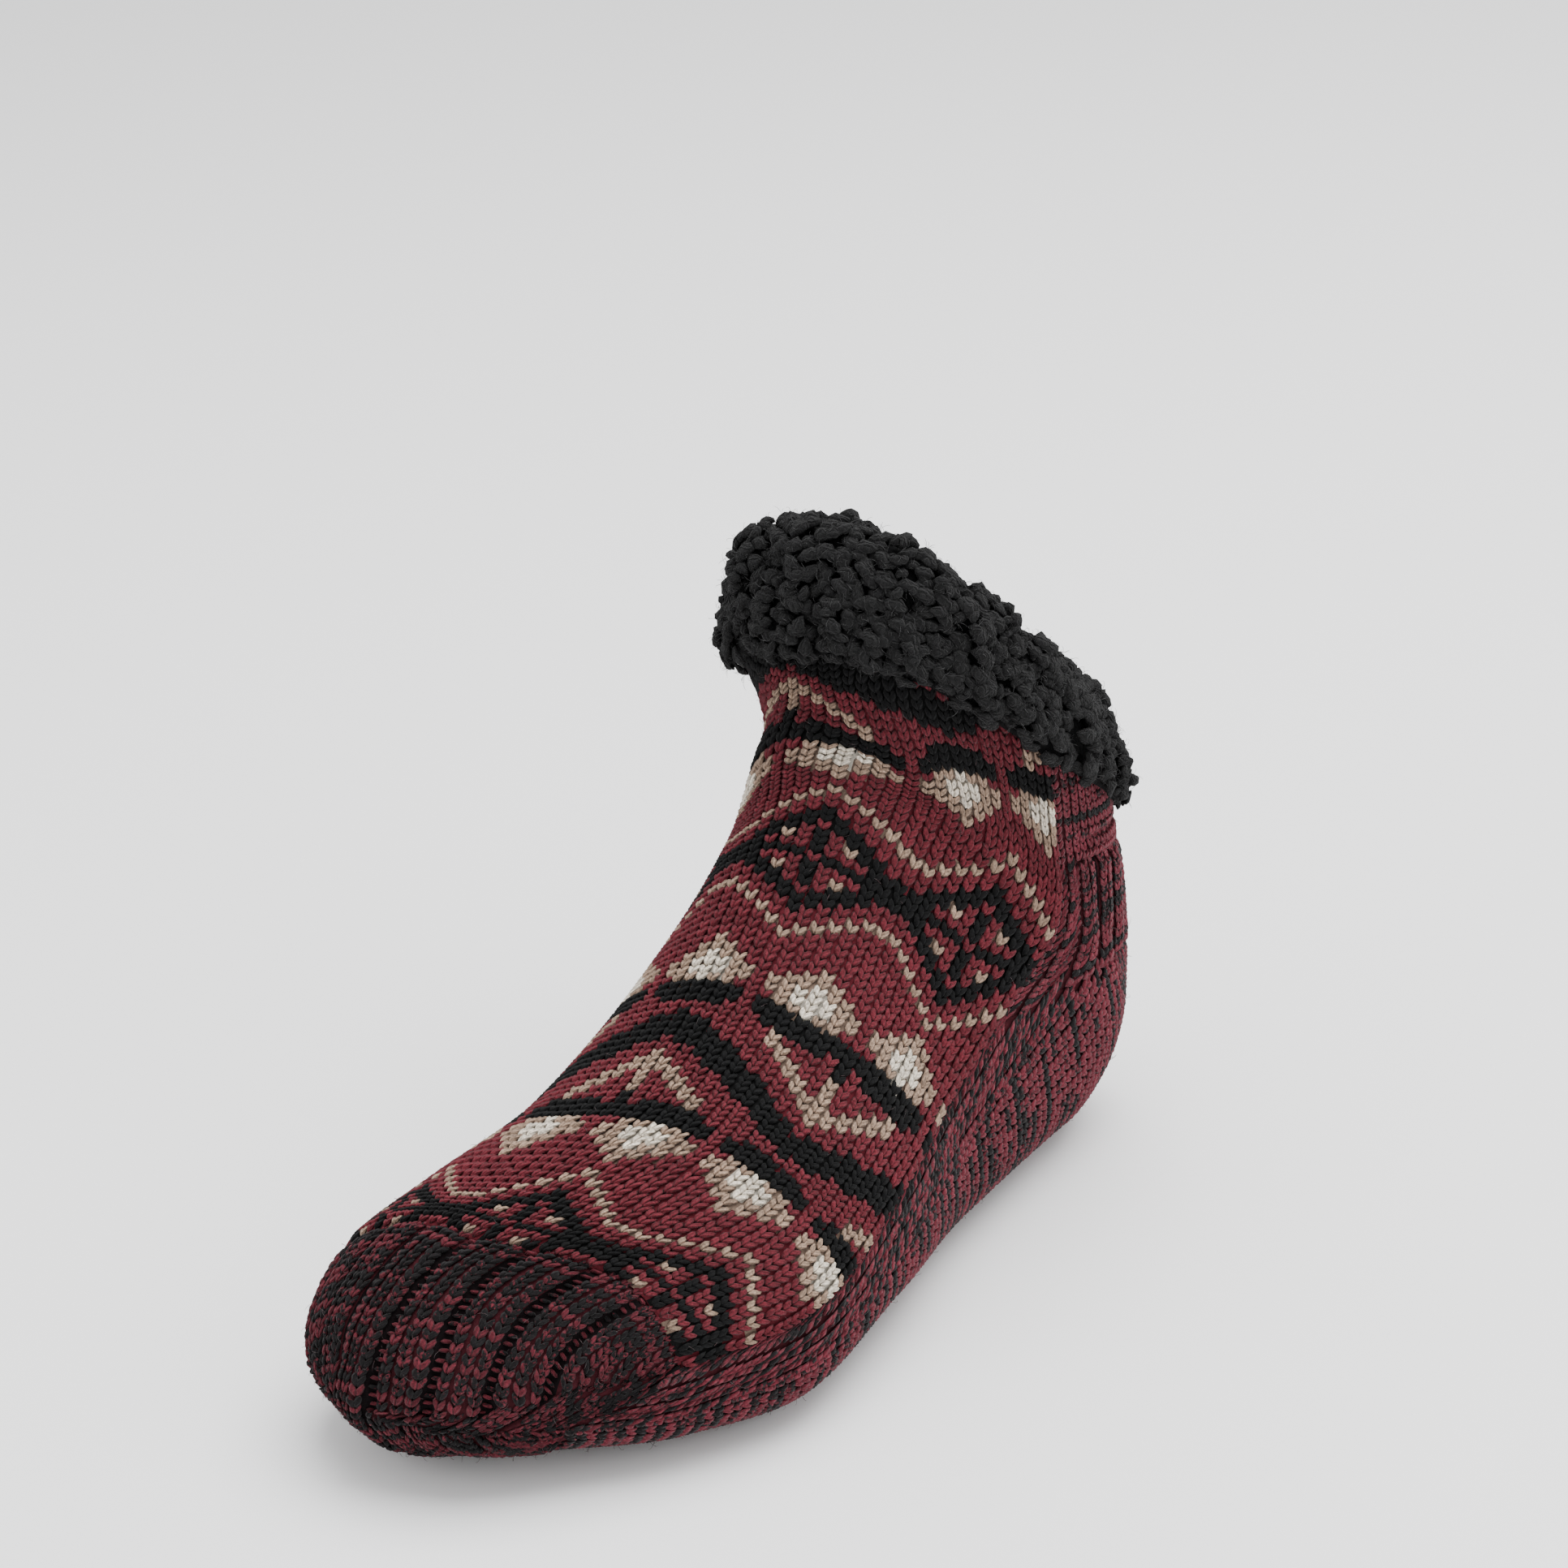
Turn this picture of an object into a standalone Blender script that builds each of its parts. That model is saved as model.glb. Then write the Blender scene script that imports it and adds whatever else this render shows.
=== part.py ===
"""A knitted slipper sock for a left foot, standing empty on its sole.

The toe points to -Y, the wearer's left side is +X and the floor is Z = 0.
One function gives the skin of the foot from a fan of sections, and every
knitted field is a wall cut from that skin. Lengths are in metres.
"""
import math

import bmesh
import bpy
import numpy as np

# Driving sizes of the foot form, over the knit
FOOT_LENGTH = 0.284
BALL_WIDTH = 0.116
ANKLE_WIDTH = 0.090
INSTEP_HEIGHT = 0.104
FRONT_HEIGHT = 0.212
BACK_HEIGHT = 0.138
TOE_SPRING = 0.023
ARCH_LIFT = 0.002
FLAT_CUT = 0.0018

# Walls, steps and clearances
WALL = 0.0030
PATTERN_STEP = 0.0008
JOIN_GAP = 0.0003
SEAM_GAP = 0.0004
CUFF_GAP = 0.0006
INSOLE_GAP = 0.0006
INSOLE_THICKNESS = 0.0022

# Lines between the knitted fields, as angles round a section from its base
SEAM_ANGLE = 98.0
GORE_ANGLE = 82.0

# Lines between the fields, as section numbers along the foot
TOE_EDGE_RIDGE = 2.35
TOE_EDGE_OUTER = 2.90
TOE_EDGE_INNER = 2.10
TOE_EDGE_UNDER = 2.00
TOE_EDGE_BEND = 55.0
INSOLE_TOE_ROW = 1.60
INSOLE_HEEL_ROW = 7.00
CUFF_ROW = 11.0

# Heights of the two cross lines on the heel, at the side seam and at the back
GORE_SIDE_HEIGHT = 0.068
GORE_BACK_HEIGHT = 0.058
BAND_SIDE_HEIGHT = 0.106
BAND_BACK_HEIGHT = 0.092

# The cuff's roll
CUFF_BULGE = 0.0085
CUFF_BACK_SHARE = 0.65
CUFF_INNER_BULGE = 0.0060
CUFF_TUFT_HEIGHT = 0.0032

# Mesh counts
UPPER_COLUMNS = 21
UNDER_COLUMNS = 9
INSOLE_COLUMNS = 7
CUFF_TUFTS_AROUND = 28
TUFT_STEPS = 3

# The fan of sections, toe to collar. The along columns are shares of FOOT_LENGTH, from the back of the heel.
# The instep, front, spring, arch, cut and back columns are shares of the size that each is named after, added
# up for the top or the base of the section. The ball and ankle columns are shares of those widths for the
# half width, drift is a share of BALL_WIDTH towards +X, widest is how high up the section is widest, and
# crown and floor are the powers of its upper and lower rounding.
COLUMNS = (
    "top_along", "instep", "front", "base_along", "spring", "arch", "cut", "back",
    "ball", "ankle", "drift", "widest", "crown", "floor",
)
SECTIONS = (
    ("tip", 0.996, 0.350, 0.000, 0.993, 0.82, 0.0, 0.0, 0.000, 0.100, 0.000, -0.110, 0.50, 2.00, 2.0),
    ("toe_front", 0.975, 0.440, 0.000, 0.965, 0.42, 0.0, 0.0, 0.000, 0.236, 0.000, -0.108, 0.47, 2.10, 2.2),
    ("toes", 0.910, 0.577, 0.000, 0.894, 0.10, 0.0, 0.0, 0.000, 0.371, 0.000, -0.082, 0.43, 2.15, 2.4),
    ("toe_root", 0.803, 0.660, 0.000, 0.792, 0.00, 0.0, -0.6, 0.000, 0.468, 0.000, 0.000, 0.41, 2.15, 2.6),
    ("ball", 0.669, 0.779, 0.000, 0.673, 0.00, 0.0, -1.0, 0.000, 0.500, 0.000, 0.070, 0.38, 2.05, 2.7),
    ("waist", 0.535, 1.000, 0.000, 0.518, 0.00, 1.0, 0.0, 0.000, 0.468, 0.000, 0.052, 0.36, 1.95, 2.7),
    ("instep", 0.430, 0.000, 0.618, 0.324, 0.00, 0.0, -1.0, 0.000, 0.000, 0.506, 0.013, 0.38, 1.95, 2.5),
    ("heel_floor", 0.374, 0.000, 0.741, 0.106, 0.00, 0.0, -0.4, 0.000, 0.000, 0.486, 0.000, 0.42, 2.00, 2.3),
    ("heel_round", 0.372, 0.000, 0.756, 0.034, 0.00, 0.0, 0.0, 0.075, 0.000, 0.496, 0.002, 0.43, 2.02, 2.2),
    ("heel_back", 0.370, 0.000, 0.770, -0.004, 0.00, 0.0, 0.0, 0.243, 0.000, 0.503, 0.004, 0.45, 2.05, 2.1),
    ("heel_top", 0.369, 0.000, 0.797, 0.000, 0.00, 0.0, 0.0, 0.471, 0.000, 0.518, 0.004, 0.48, 2.10, 2.1),
    ("cuff_line", 0.368, 0.000, 0.821, 0.018, 0.00, 0.0, 0.0, 0.714, 0.000, 0.540, 0.000, 0.50, 2.10, 2.1),
    ("collar", 0.330, 0.000, 1.000, 0.090, 0.00, 0.0, 0.0, 1.000, 0.000, 0.472, 0.000, 0.50, 2.10, 2.1),
)

# The cuff's closed profile: a share of the way from the cuff line to the collar's edge, the layer that the
# point belongs to, and a share of that layer's bulge. The outer layer lies over the knit and the inner one
# inside it, and the slot between them holds the collar's wall.
CUFF_PROFILE = (
    (0.02, "outer", 0.00), (-0.03, "outer", 0.45), (0.05, "outer", 0.82), (0.22, "outer", 0.97),
    (0.42, "outer", 1.00), (0.62, "outer", 0.98), (0.82, "outer", 0.86), (0.98, "outer", 0.60),
    (1.08, "outer", 0.25), (1.12, "outer", 0.00), (1.12, "inner", 0.00), (1.09, "inner", 0.55),
    (1.00, "inner", 0.92), (0.85, "inner", 1.00), (0.68, "inner", 0.85), (0.58, "inner", 0.45),
    (0.56, "inner", 0.00), (0.78, "inner", 0.00), (1.00, "inner", 0.00), (1.00, "outer", 0.00),
    (0.68, "outer", 0.00), (0.35, "outer", 0.00),
)
CUFF_SLOT_POINTS = 5

# Colour, roughness and metallic value of each field
FINISHES = {
    "upper": ((0.150, 0.040, 0.050, 1.0), 0.90, 0.0),
    "toe_cap": ((0.070, 0.025, 0.030, 1.0), 0.92, 0.0),
    "sole": ((0.080, 0.028, 0.033, 1.0), 0.92, 0.0),
    "heel_cup": ((0.075, 0.026, 0.031, 1.0), 0.92, 0.0),
    "back_panel": ((0.080, 0.028, 0.033, 1.0), 0.92, 0.0),
    "cuff": ((0.014, 0.014, 0.015, 1.0), 0.95, 0.0),
    "insole": ((0.020, 0.020, 0.022, 1.0), 0.95, 0.0),
}


class FootForm:
    """The skin of the foot: a point for each angle round a section and each place along the fan."""

    def __init__(self):
        """Turn the table's shares into lengths and fit one smooth curve to each column."""
        share = {}
        for column, name in enumerate(COLUMNS, start=1):
            share[name] = np.array([row[column] for row in SECTIONS])
        lengths = {
            "top_y": -share["top_along"] * FOOT_LENGTH,
            "top_z": share["instep"] * INSTEP_HEIGHT + share["front"] * FRONT_HEIGHT,
            "base_y": -share["base_along"] * FOOT_LENGTH,
            "base_z": (share["spring"] * TOE_SPRING + share["arch"] * ARCH_LIFT
                       + share["cut"] * FLAT_CUT + share["back"] * BACK_HEIGHT),
            "half_width": share["ball"] * BALL_WIDTH + share["ankle"] * ANKLE_WIDTH,
            "drift": share["drift"] * BALL_WIDTH,
            "widest": share["widest"],
            "crown": share["crown"],
            "floor": share["floor"],
        }
        top_step = np.hypot(np.diff(lengths["top_y"]), np.diff(lengths["top_z"]))
        base_step = np.hypot(np.diff(lengths["base_y"]), np.diff(lengths["base_z"]))
        self.rows = np.arange(len(SECTIONS), dtype=float)
        self.knots = np.concatenate([[0.0], np.cumsum(0.5 * (top_step + base_step))])
        self.curves = {name: (values, self.slopes(values)) for name, values in lengths.items()}

    def slopes(self, values):
        """Give slopes at the sections that never overshoot the table's values."""
        gaps = np.diff(self.knots)
        rises = np.diff(values) / gaps
        slopes = np.zeros(len(values))
        slopes[0] = rises[0]
        slopes[-1] = rises[-1]
        for index in range(1, len(values) - 1):
            before = rises[index - 1]
            after = rises[index]
            if before * after > 0.0:
                near = 2.0 * gaps[index] + gaps[index - 1]
                far = gaps[index] + 2.0 * gaps[index - 1]
                slopes[index] = (near + far) / (near / before + far / after)
        return slopes

    def column(self, name, row):
        """Read one column's smooth curve at section numbers, past the last one in a straight line."""
        values, slopes = self.curves[name]
        last = self.rows[-1]
        inside = np.minimum(row, last)
        place = np.interp(inside, self.rows, self.knots)
        index = np.clip(np.searchsorted(self.knots, place, side="right") - 1, 0, len(self.knots) - 2)
        gap = self.knots[index + 1] - self.knots[index]
        t = (place - self.knots[index]) / gap
        start = (1.0 + 2.0 * t) * (1.0 - t) ** 2
        end = t * t * (3.0 - 2.0 * t)
        leave = t * (1.0 - t) ** 2
        arrive = t * t * (t - 1.0)
        curve = (start * values[index] + end * values[index + 1]
                 + gap * (leave * slopes[index] + arrive * slopes[index + 1]))
        last_gap = self.knots[-1] - self.knots[-2]
        return curve + np.maximum(row - last, 0.0) * last_gap * slopes[-1]

    def base(self, angle, row):
        """Give the skin's points before any is stopped by the floor."""
        get = {name: self.column(name, row) for name in self.curves}
        turn = np.radians(angle)
        sine = np.sin(turn)
        cosine = np.cos(turn)
        low = cosine > 0.0
        power = np.where(low, get["floor"], get["crown"])
        across = np.sign(sine) * np.abs(sine) ** (2.0 / power)
        upright = np.abs(cosine) ** (2.0 / power)
        widest = get["widest"]
        share = np.where(low, widest * (1.0 - upright), widest + (1.0 - widest) * upright)
        x = get["drift"] + get["half_width"] * across
        y = get["base_y"] + (get["top_y"] - get["base_y"]) * share
        z = get["base_z"] + (get["top_z"] - get["base_z"]) * share
        return np.stack([x, y, z], axis=-1)

    def point(self, angle, row, depth):
        """Give points a depth inside the skin, or outside it where depth is negative, and never under the floor."""
        angle, row, depth = np.broadcast_arrays(
            np.asarray(angle, float), np.asarray(row, float), np.asarray(depth, float))
        turn_step = 1.5
        row_step = 0.04
        round_way = self.base(angle + turn_step, row) - self.base(angle - turn_step, row)
        along_way = self.base(angle, row + row_step) - self.base(angle, np.maximum(row - row_step, 0.0))
        inward = np.cross(round_way, along_way)
        inward = inward / np.linalg.norm(inward, axis=-1, keepdims=True)
        points = self.base(angle, row) + inward * depth[..., None]
        points[..., 2] = np.maximum(points[..., 2], np.maximum(depth, 0.0))
        return points

    def row_at_height(self, angle, height):
        """Find where a line round the heel reaches a height, by halving the way up the heel's sections."""
        low = 6.0
        high = float(self.rows[-1])
        for _ in range(30):
            middle = 0.5 * (low + high)
            if float(self.base(np.array(angle), np.array(middle))[2]) < height:
                low = middle
            else:
                high = middle
        return 0.5 * (low + high)


def seam_gap_angle():
    """Give half of the gap between two fields at the side seam, as an angle round the section."""
    return math.degrees(0.5 * SEAM_GAP / (0.5 * ANKLE_WIDTH))


def seam_gap_rows():
    """Give half of the gap between two fields as a share of the way between two sections."""
    return 0.5 * JOIN_GAP / (FOOT_LENGTH / len(SECTIONS))


def smooth(share):
    """Ease a share from 0 to 1."""
    share = min(max(share, 0.0), 1.0)
    return share * share * (3.0 - 2.0 * share)


def signed(angle):
    """Turn an angle of 0 to 360 into one of -180 to 180."""
    return angle if angle <= 180.0 else angle - 360.0


def toe_edge(angle):
    """Give the section number of the toe cap's edge at an angle from the base, -180 to 180, +X positive."""
    from_ridge = 180.0 - abs(angle)
    side = TOE_EDGE_OUTER if angle > 0.0 else TOE_EDGE_INNER
    upper_edge = TOE_EDGE_RIDGE + (side - TOE_EDGE_RIDGE) * smooth(from_ridge / TOE_EDGE_BEND)
    if abs(angle) >= SEAM_ANGLE:
        return upper_edge
    under = min(side, TOE_EDGE_UNDER)
    down = (SEAM_ANGLE - abs(angle)) / (SEAM_ANGLE - GORE_ANGLE)
    return upper_edge + (under - upper_edge) * min(down, 1.0)


def heel_line(form, angle, side_height, back_height):
    """Give the section number of a cross line on the heel that falls from the side seam to the back."""
    share = abs(angle) / SEAM_ANGLE
    height = back_height + (side_height - back_height) * share
    return form.row_at_height(angle, height)


def wall_grid(form, angles, first_rows, last_rows, steps, outer_depth, inner_depth):
    """Give the outer and inner points of a field, one column for each angle."""
    share = np.linspace(0.0, 1.0, steps + 1)
    angle = np.repeat(np.asarray(angles)[:, None], steps + 1, axis=1)
    first = np.asarray(first_rows)[:, None]
    last = np.asarray(last_rows)[:, None]
    row = first + (last - first) * share[None, :]
    return form.point(angle, row, outer_depth), form.point(angle, row, inner_depth)


def add_grid(mesh, points):
    """Add a grid of points to a mesh and give its vertices in rows."""
    return [[mesh.verts.new(point) for point in column] for column in points]


def fill_between(mesh, first, second, closed=False):
    """Join two lines of vertices with quads."""
    count = len(first)
    for index in range(count if closed else count - 1):
        following = (index + 1) % count
        mesh.faces.new((first[index], first[following], second[following], second[index]))


def fill_grid(mesh, columns, closed):
    """Fill a grid of vertices with quads, with its last column joined to its first where it is closed."""
    for index in range(len(columns) if closed else len(columns) - 1):
        fill_between(mesh, columns[index], columns[(index + 1) % len(columns)])


def open_field(mesh, outer, inner):
    """Build a wall that is open on all four sides, with rims between its two faces."""
    outside = add_grid(mesh, outer)
    inside = add_grid(mesh, inner)
    fill_grid(mesh, outside, closed=False)
    fill_grid(mesh, inside, closed=False)
    fill_between(mesh, outside[0], inside[0])
    fill_between(mesh, outside[-1], inside[-1])
    fill_between(mesh, [column[0] for column in outside], [column[0] for column in inside])
    fill_between(mesh, [column[-1] for column in outside], [column[-1] for column in inside])


def thimble(mesh, outer, inner, outer_pole, inner_pole):
    """Build a wall that goes all the way round and is closed over the tip."""
    outside = add_grid(mesh, outer)
    inside = add_grid(mesh, inner)
    for columns, pole in ((outside, outer_pole), (inside, inner_pole)):
        fill_grid(mesh, columns, closed=True)
        centre = mesh.verts.new(pole)
        for index, column in enumerate(columns):
            mesh.faces.new((column[0], columns[(index + 1) % len(columns)][0], centre))
    fill_between(mesh, [column[-1] for column in outside], [column[-1] for column in inside], closed=True)


def add_object(name, mesh):
    """Close off a mesh, face it outwards and make it a shaded object with its own material."""
    bmesh.ops.recalc_face_normals(mesh, faces=mesh.faces)
    data = bpy.data.meshes.new(name)
    mesh.to_mesh(data)
    mesh.free()
    data.shade_smooth()
    data.set_sharp_from_angle(angle=math.radians(50.0))
    colour, roughness, metallic = FINISHES[name]
    material = bpy.data.materials.new(name)
    material.use_nodes = True
    shader = material.node_tree.nodes["Principled BSDF"]
    shader.inputs["Base Color"].default_value = colour
    shader.inputs["Roughness"].default_value = roughness
    shader.inputs["Metallic"].default_value = metallic
    data.materials.append(material)
    piece = bpy.data.objects.new(name, data)
    bpy.context.collection.objects.link(piece)
    return piece


def build_field(form, name, angles, first, last, steps, outer_depth, inner_depth):
    """Build one open field from its angles and the section numbers of its two ends."""
    mesh = bmesh.new()
    first_rows = [first(angle) for angle in angles]
    last_rows = [last(angle) for angle in angles]
    outer, inner = wall_grid(form, angles, first_rows, last_rows, steps, outer_depth, inner_depth)
    open_field(mesh, outer, inner)
    return add_object(name, mesh)


def both_sides(half):
    """Give angles from one side to the other from those of one half, which start at the middle."""
    return [float(angle) for angle in np.concatenate([-half[:0:-1], half])]


def under_angles(limit):
    """Give the angles across the underside, out to a limit, with the gore's corners among them."""
    floor_half = np.linspace(0.0, GORE_ANGLE, UNDER_COLUMNS)
    return both_sides(np.concatenate([floor_half, [0.5 * (GORE_ANGLE + limit), limit]]))


def upper_angles(limit):
    """Give the angles over the instep, from a limit on one side to the same limit on the other."""
    return [float(angle) for angle in np.linspace(limit, 360.0 - limit, UPPER_COLUMNS)]


def build_upper(form):
    """Build the patterned instep field, a step proud of the plain ones."""
    angles = upper_angles(SEAM_ANGLE + seam_gap_angle())
    collar_row = float(form.rows[-1])

    return build_field(
        form, "upper", angles,
        lambda angle: toe_edge(signed(angle)) + seam_gap_rows(),
        lambda angle: collar_row,
        30, -PATTERN_STEP, WALL - PATTERN_STEP)


def build_toe_cap(form):
    """Build the ribbed toe as a thimble, closed over the tip."""
    mesh = bmesh.new()
    angles = under_angles(SEAM_ANGLE) + upper_angles(SEAM_ANGLE)[1:-1]
    last_rows = [toe_edge(signed(angle)) - seam_gap_rows() for angle in angles]
    outer, inner = wall_grid(form, angles, [0.0] * len(angles), last_rows, 8, 0.0, WALL)
    outer_pole = outer[:, 0].mean(axis=0)
    outer_pole[1] = outer[:, 0, 1].min() - 0.25 * WALL
    inner_pole = inner[:, 0].mean(axis=0)
    inner_pole[1] = outer_pole[1] + WALL
    thimble(mesh, outer, inner, outer_pole, inner_pole)
    return add_object("toe_cap", mesh)


def build_sole(form):
    """Build the plain underside, from the toe cap to the heel's gore, with its sides turned up."""
    return build_field(
        form, "sole", under_angles(SEAM_ANGLE - seam_gap_angle()),
        lambda angle: toe_edge(angle) + seam_gap_rows(),
        lambda angle: heel_line(form, angle, GORE_SIDE_HEIGHT, GORE_BACK_HEIGHT) - seam_gap_rows(),
        25, 0.0, WALL)


def build_heel_cup(form):
    """Build the ribbed back of the heel, between the gore and the band."""
    return build_field(
        form, "heel_cup", under_angles(SEAM_ANGLE - seam_gap_angle()),
        lambda angle: heel_line(form, angle, GORE_SIDE_HEIGHT, GORE_BACK_HEIGHT) + seam_gap_rows(),
        lambda angle: heel_line(form, angle, BAND_SIDE_HEIGHT, BAND_BACK_HEIGHT) - seam_gap_rows(),
        5, 0.0, WALL)


def build_back_panel(form):
    """Build the plain field between the band and the collar's edge."""
    collar_row = float(form.rows[-1])
    return build_field(
        form, "back_panel", under_angles(SEAM_ANGLE - seam_gap_angle()),
        lambda angle: heel_line(form, angle, BAND_SIDE_HEIGHT, BAND_BACK_HEIGHT) + seam_gap_rows(),
        lambda angle: collar_row,
        8, 0.0, WALL)


def build_insole(form):
    """Build the footbed on the inside of the sole."""
    angles = both_sides(np.linspace(0.0, GORE_ANGLE, UNDER_COLUMNS)[:INSOLE_COLUMNS])
    lower = WALL + INSOLE_GAP
    return build_field(form, "insole", angles, lambda angle: INSOLE_TOE_ROW, lambda angle: INSOLE_HEEL_ROW,
                       18, lower, lower + INSOLE_THICKNESS)


def tuft_height(step, index):
    """Give the pile's height as a share at a column and profile point: blocks of raised points in a brick bond."""
    row = index // TUFT_STEPS
    shifted = step + row % 2
    valley = shifted % TUFT_STEPS == 0 or index % TUFT_STEPS == 0
    size = 0.75 + 0.25 * math.sin(7.3 * (shifted // TUFT_STEPS) + 2.1 * row)
    return 0.0 if valley else size


def build_cuff(form):
    """Build the sherpa roll over the collar, its tufts raised from the same closed surface."""
    mesh = bmesh.new()
    collar_row = float(form.rows[-1])
    run = collar_row - CUFF_ROW
    outer_face = -PATTERN_STEP - CUFF_GAP
    inner_face = WALL + CUFF_GAP
    front_share = COLUMNS.index("front") + 1
    roof = CUFF_GAP / (FRONT_HEIGHT * (SECTIONS[-1][front_share] - SECTIONS[-2][front_share]))
    visible = len(CUFF_PROFILE) - CUFF_SLOT_POINTS
    around = CUFF_TUFTS_AROUND * TUFT_STEPS
    columns = []
    for step in range(around):
        backness = 0.5 + 0.5 * math.cos(math.tau * step / around)
        fullness = 1.0 - (1.0 - CUFF_BACK_SHARE) * backness
        rows = []
        depths = []
        for index, (rise, layer, bulge) in enumerate(CUFF_PROFILE):
            pile = 0.0
            if 0 < index < visible - 1:
                pile = CUFF_TUFT_HEIGHT * tuft_height(step, index)
            if layer == "outer":
                depth = outer_face - bulge * fullness * CUFF_BULGE - (pile if bulge > 0.0 else 0.0)
            else:
                depth = inner_face + bulge * CUFF_INNER_BULGE
            lift = rise + (roof if rise == 1.0 and index >= visible else 0.0)
            rows.append(CUFF_ROW + run * lift)
            depths.append(depth)
        columns.append(form.point(360.0 * step / around, np.array(rows), np.array(depths)))
    rings = add_grid(mesh, columns)
    for index, ring in enumerate(rings):
        fill_between(mesh, ring, rings[(index + 1) % around], closed=True)
    return add_object("cuff", mesh)


def centre_on_floor(pieces):
    """Move all the meshes so that the middle of the whole sock stands over the origin."""
    corners = np.array([vertex.co[:] for piece in pieces for vertex in piece.data.vertices])
    middle = 0.5 * (corners.min(axis=0) + corners.max(axis=0))
    for piece in pieces:
        for vertex in piece.data.vertices:
            vertex.co.x -= middle[0]
            vertex.co.y -= middle[1]


def main():
    """Clear the scene and build the sock."""
    for old in list(bpy.data.objects):
        bpy.data.objects.remove(old, do_unlink=True)
    form = FootForm()
    pieces = [
        build_upper(form),
        build_toe_cap(form),
        build_sole(form),
        build_heel_cup(form),
        build_back_panel(form),
        build_insole(form),
        build_cuff(form),
    ]
    centre_on_floor(pieces)


main()
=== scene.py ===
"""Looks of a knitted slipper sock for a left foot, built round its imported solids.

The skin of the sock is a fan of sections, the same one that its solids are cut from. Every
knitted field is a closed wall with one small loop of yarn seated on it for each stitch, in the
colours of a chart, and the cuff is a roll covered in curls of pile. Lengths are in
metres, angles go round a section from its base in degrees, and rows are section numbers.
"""
import logging
import math
from dataclasses import dataclass, field, fields
from enum import Enum

import bmesh
import bpy
import numpy as np
from mathutils import Matrix, Vector


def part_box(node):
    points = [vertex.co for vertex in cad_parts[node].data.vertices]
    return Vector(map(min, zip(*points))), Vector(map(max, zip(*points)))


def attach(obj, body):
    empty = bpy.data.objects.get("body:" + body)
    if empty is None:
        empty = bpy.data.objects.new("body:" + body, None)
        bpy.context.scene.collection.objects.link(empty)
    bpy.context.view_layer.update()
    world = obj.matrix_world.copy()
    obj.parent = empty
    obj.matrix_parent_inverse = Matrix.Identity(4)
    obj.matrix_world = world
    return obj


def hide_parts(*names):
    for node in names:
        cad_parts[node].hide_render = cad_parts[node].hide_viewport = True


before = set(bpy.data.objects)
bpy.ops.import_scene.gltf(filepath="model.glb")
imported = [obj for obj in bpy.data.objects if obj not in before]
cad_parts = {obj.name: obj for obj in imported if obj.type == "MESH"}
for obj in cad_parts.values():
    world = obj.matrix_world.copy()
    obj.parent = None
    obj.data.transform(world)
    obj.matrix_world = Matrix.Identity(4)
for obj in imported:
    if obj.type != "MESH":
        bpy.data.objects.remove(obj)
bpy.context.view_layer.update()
LOG = logging.getLogger("slipper_sock")

Array = np.ndarray
Object = bpy.types.Object
Material = bpy.types.Material
Socket = bpy.types.NodeSocket
Colour = tuple[float, float, float, float]
Faces = list[tuple[int, ...]]
Shape = tuple[Array, Faces, Array]

# Walls, and how high loose parts stay over the floor
WALL = 0.0030
PATTERN_STEP = 0.0008
BACKING_DEPTH = -0.0002
FLOOR_CLEARANCE = 0.00015

# Which of a wall's finishes is the one inside the sock, and which the painted shade in the ladders
LINING_SLOT = 1
LADDER_SLOT = 2

# The angles of the side seams and of the sole's turned-up sides, and the rows of the cuff and the collar
SEAM_ANGLE = 98.0
GORE_ANGLE = 82.0
CUFF_ROW = 11.0
COLLAR_ROW = 12.0


class Line(Enum):
    """The lines across the sock that its knitted fields run between."""

    TOE_EDGE = "toe_edge"
    GORE = "gore"
    BAND = "band"
    UNDER_CUFF = "under_cuff"
    WALL_END = "wall_end"


# The heights of a heel line at the side seams and at the back, and the rows of the level lines
HEEL_HEIGHTS = {Line.GORE: (0.068, 0.058), Line.BAND: (0.106, 0.092)}
LEVEL_ROWS = {Line.UNDER_CUFF: CUFF_ROW + 0.12, Line.WALL_END: 11.91}

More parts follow.
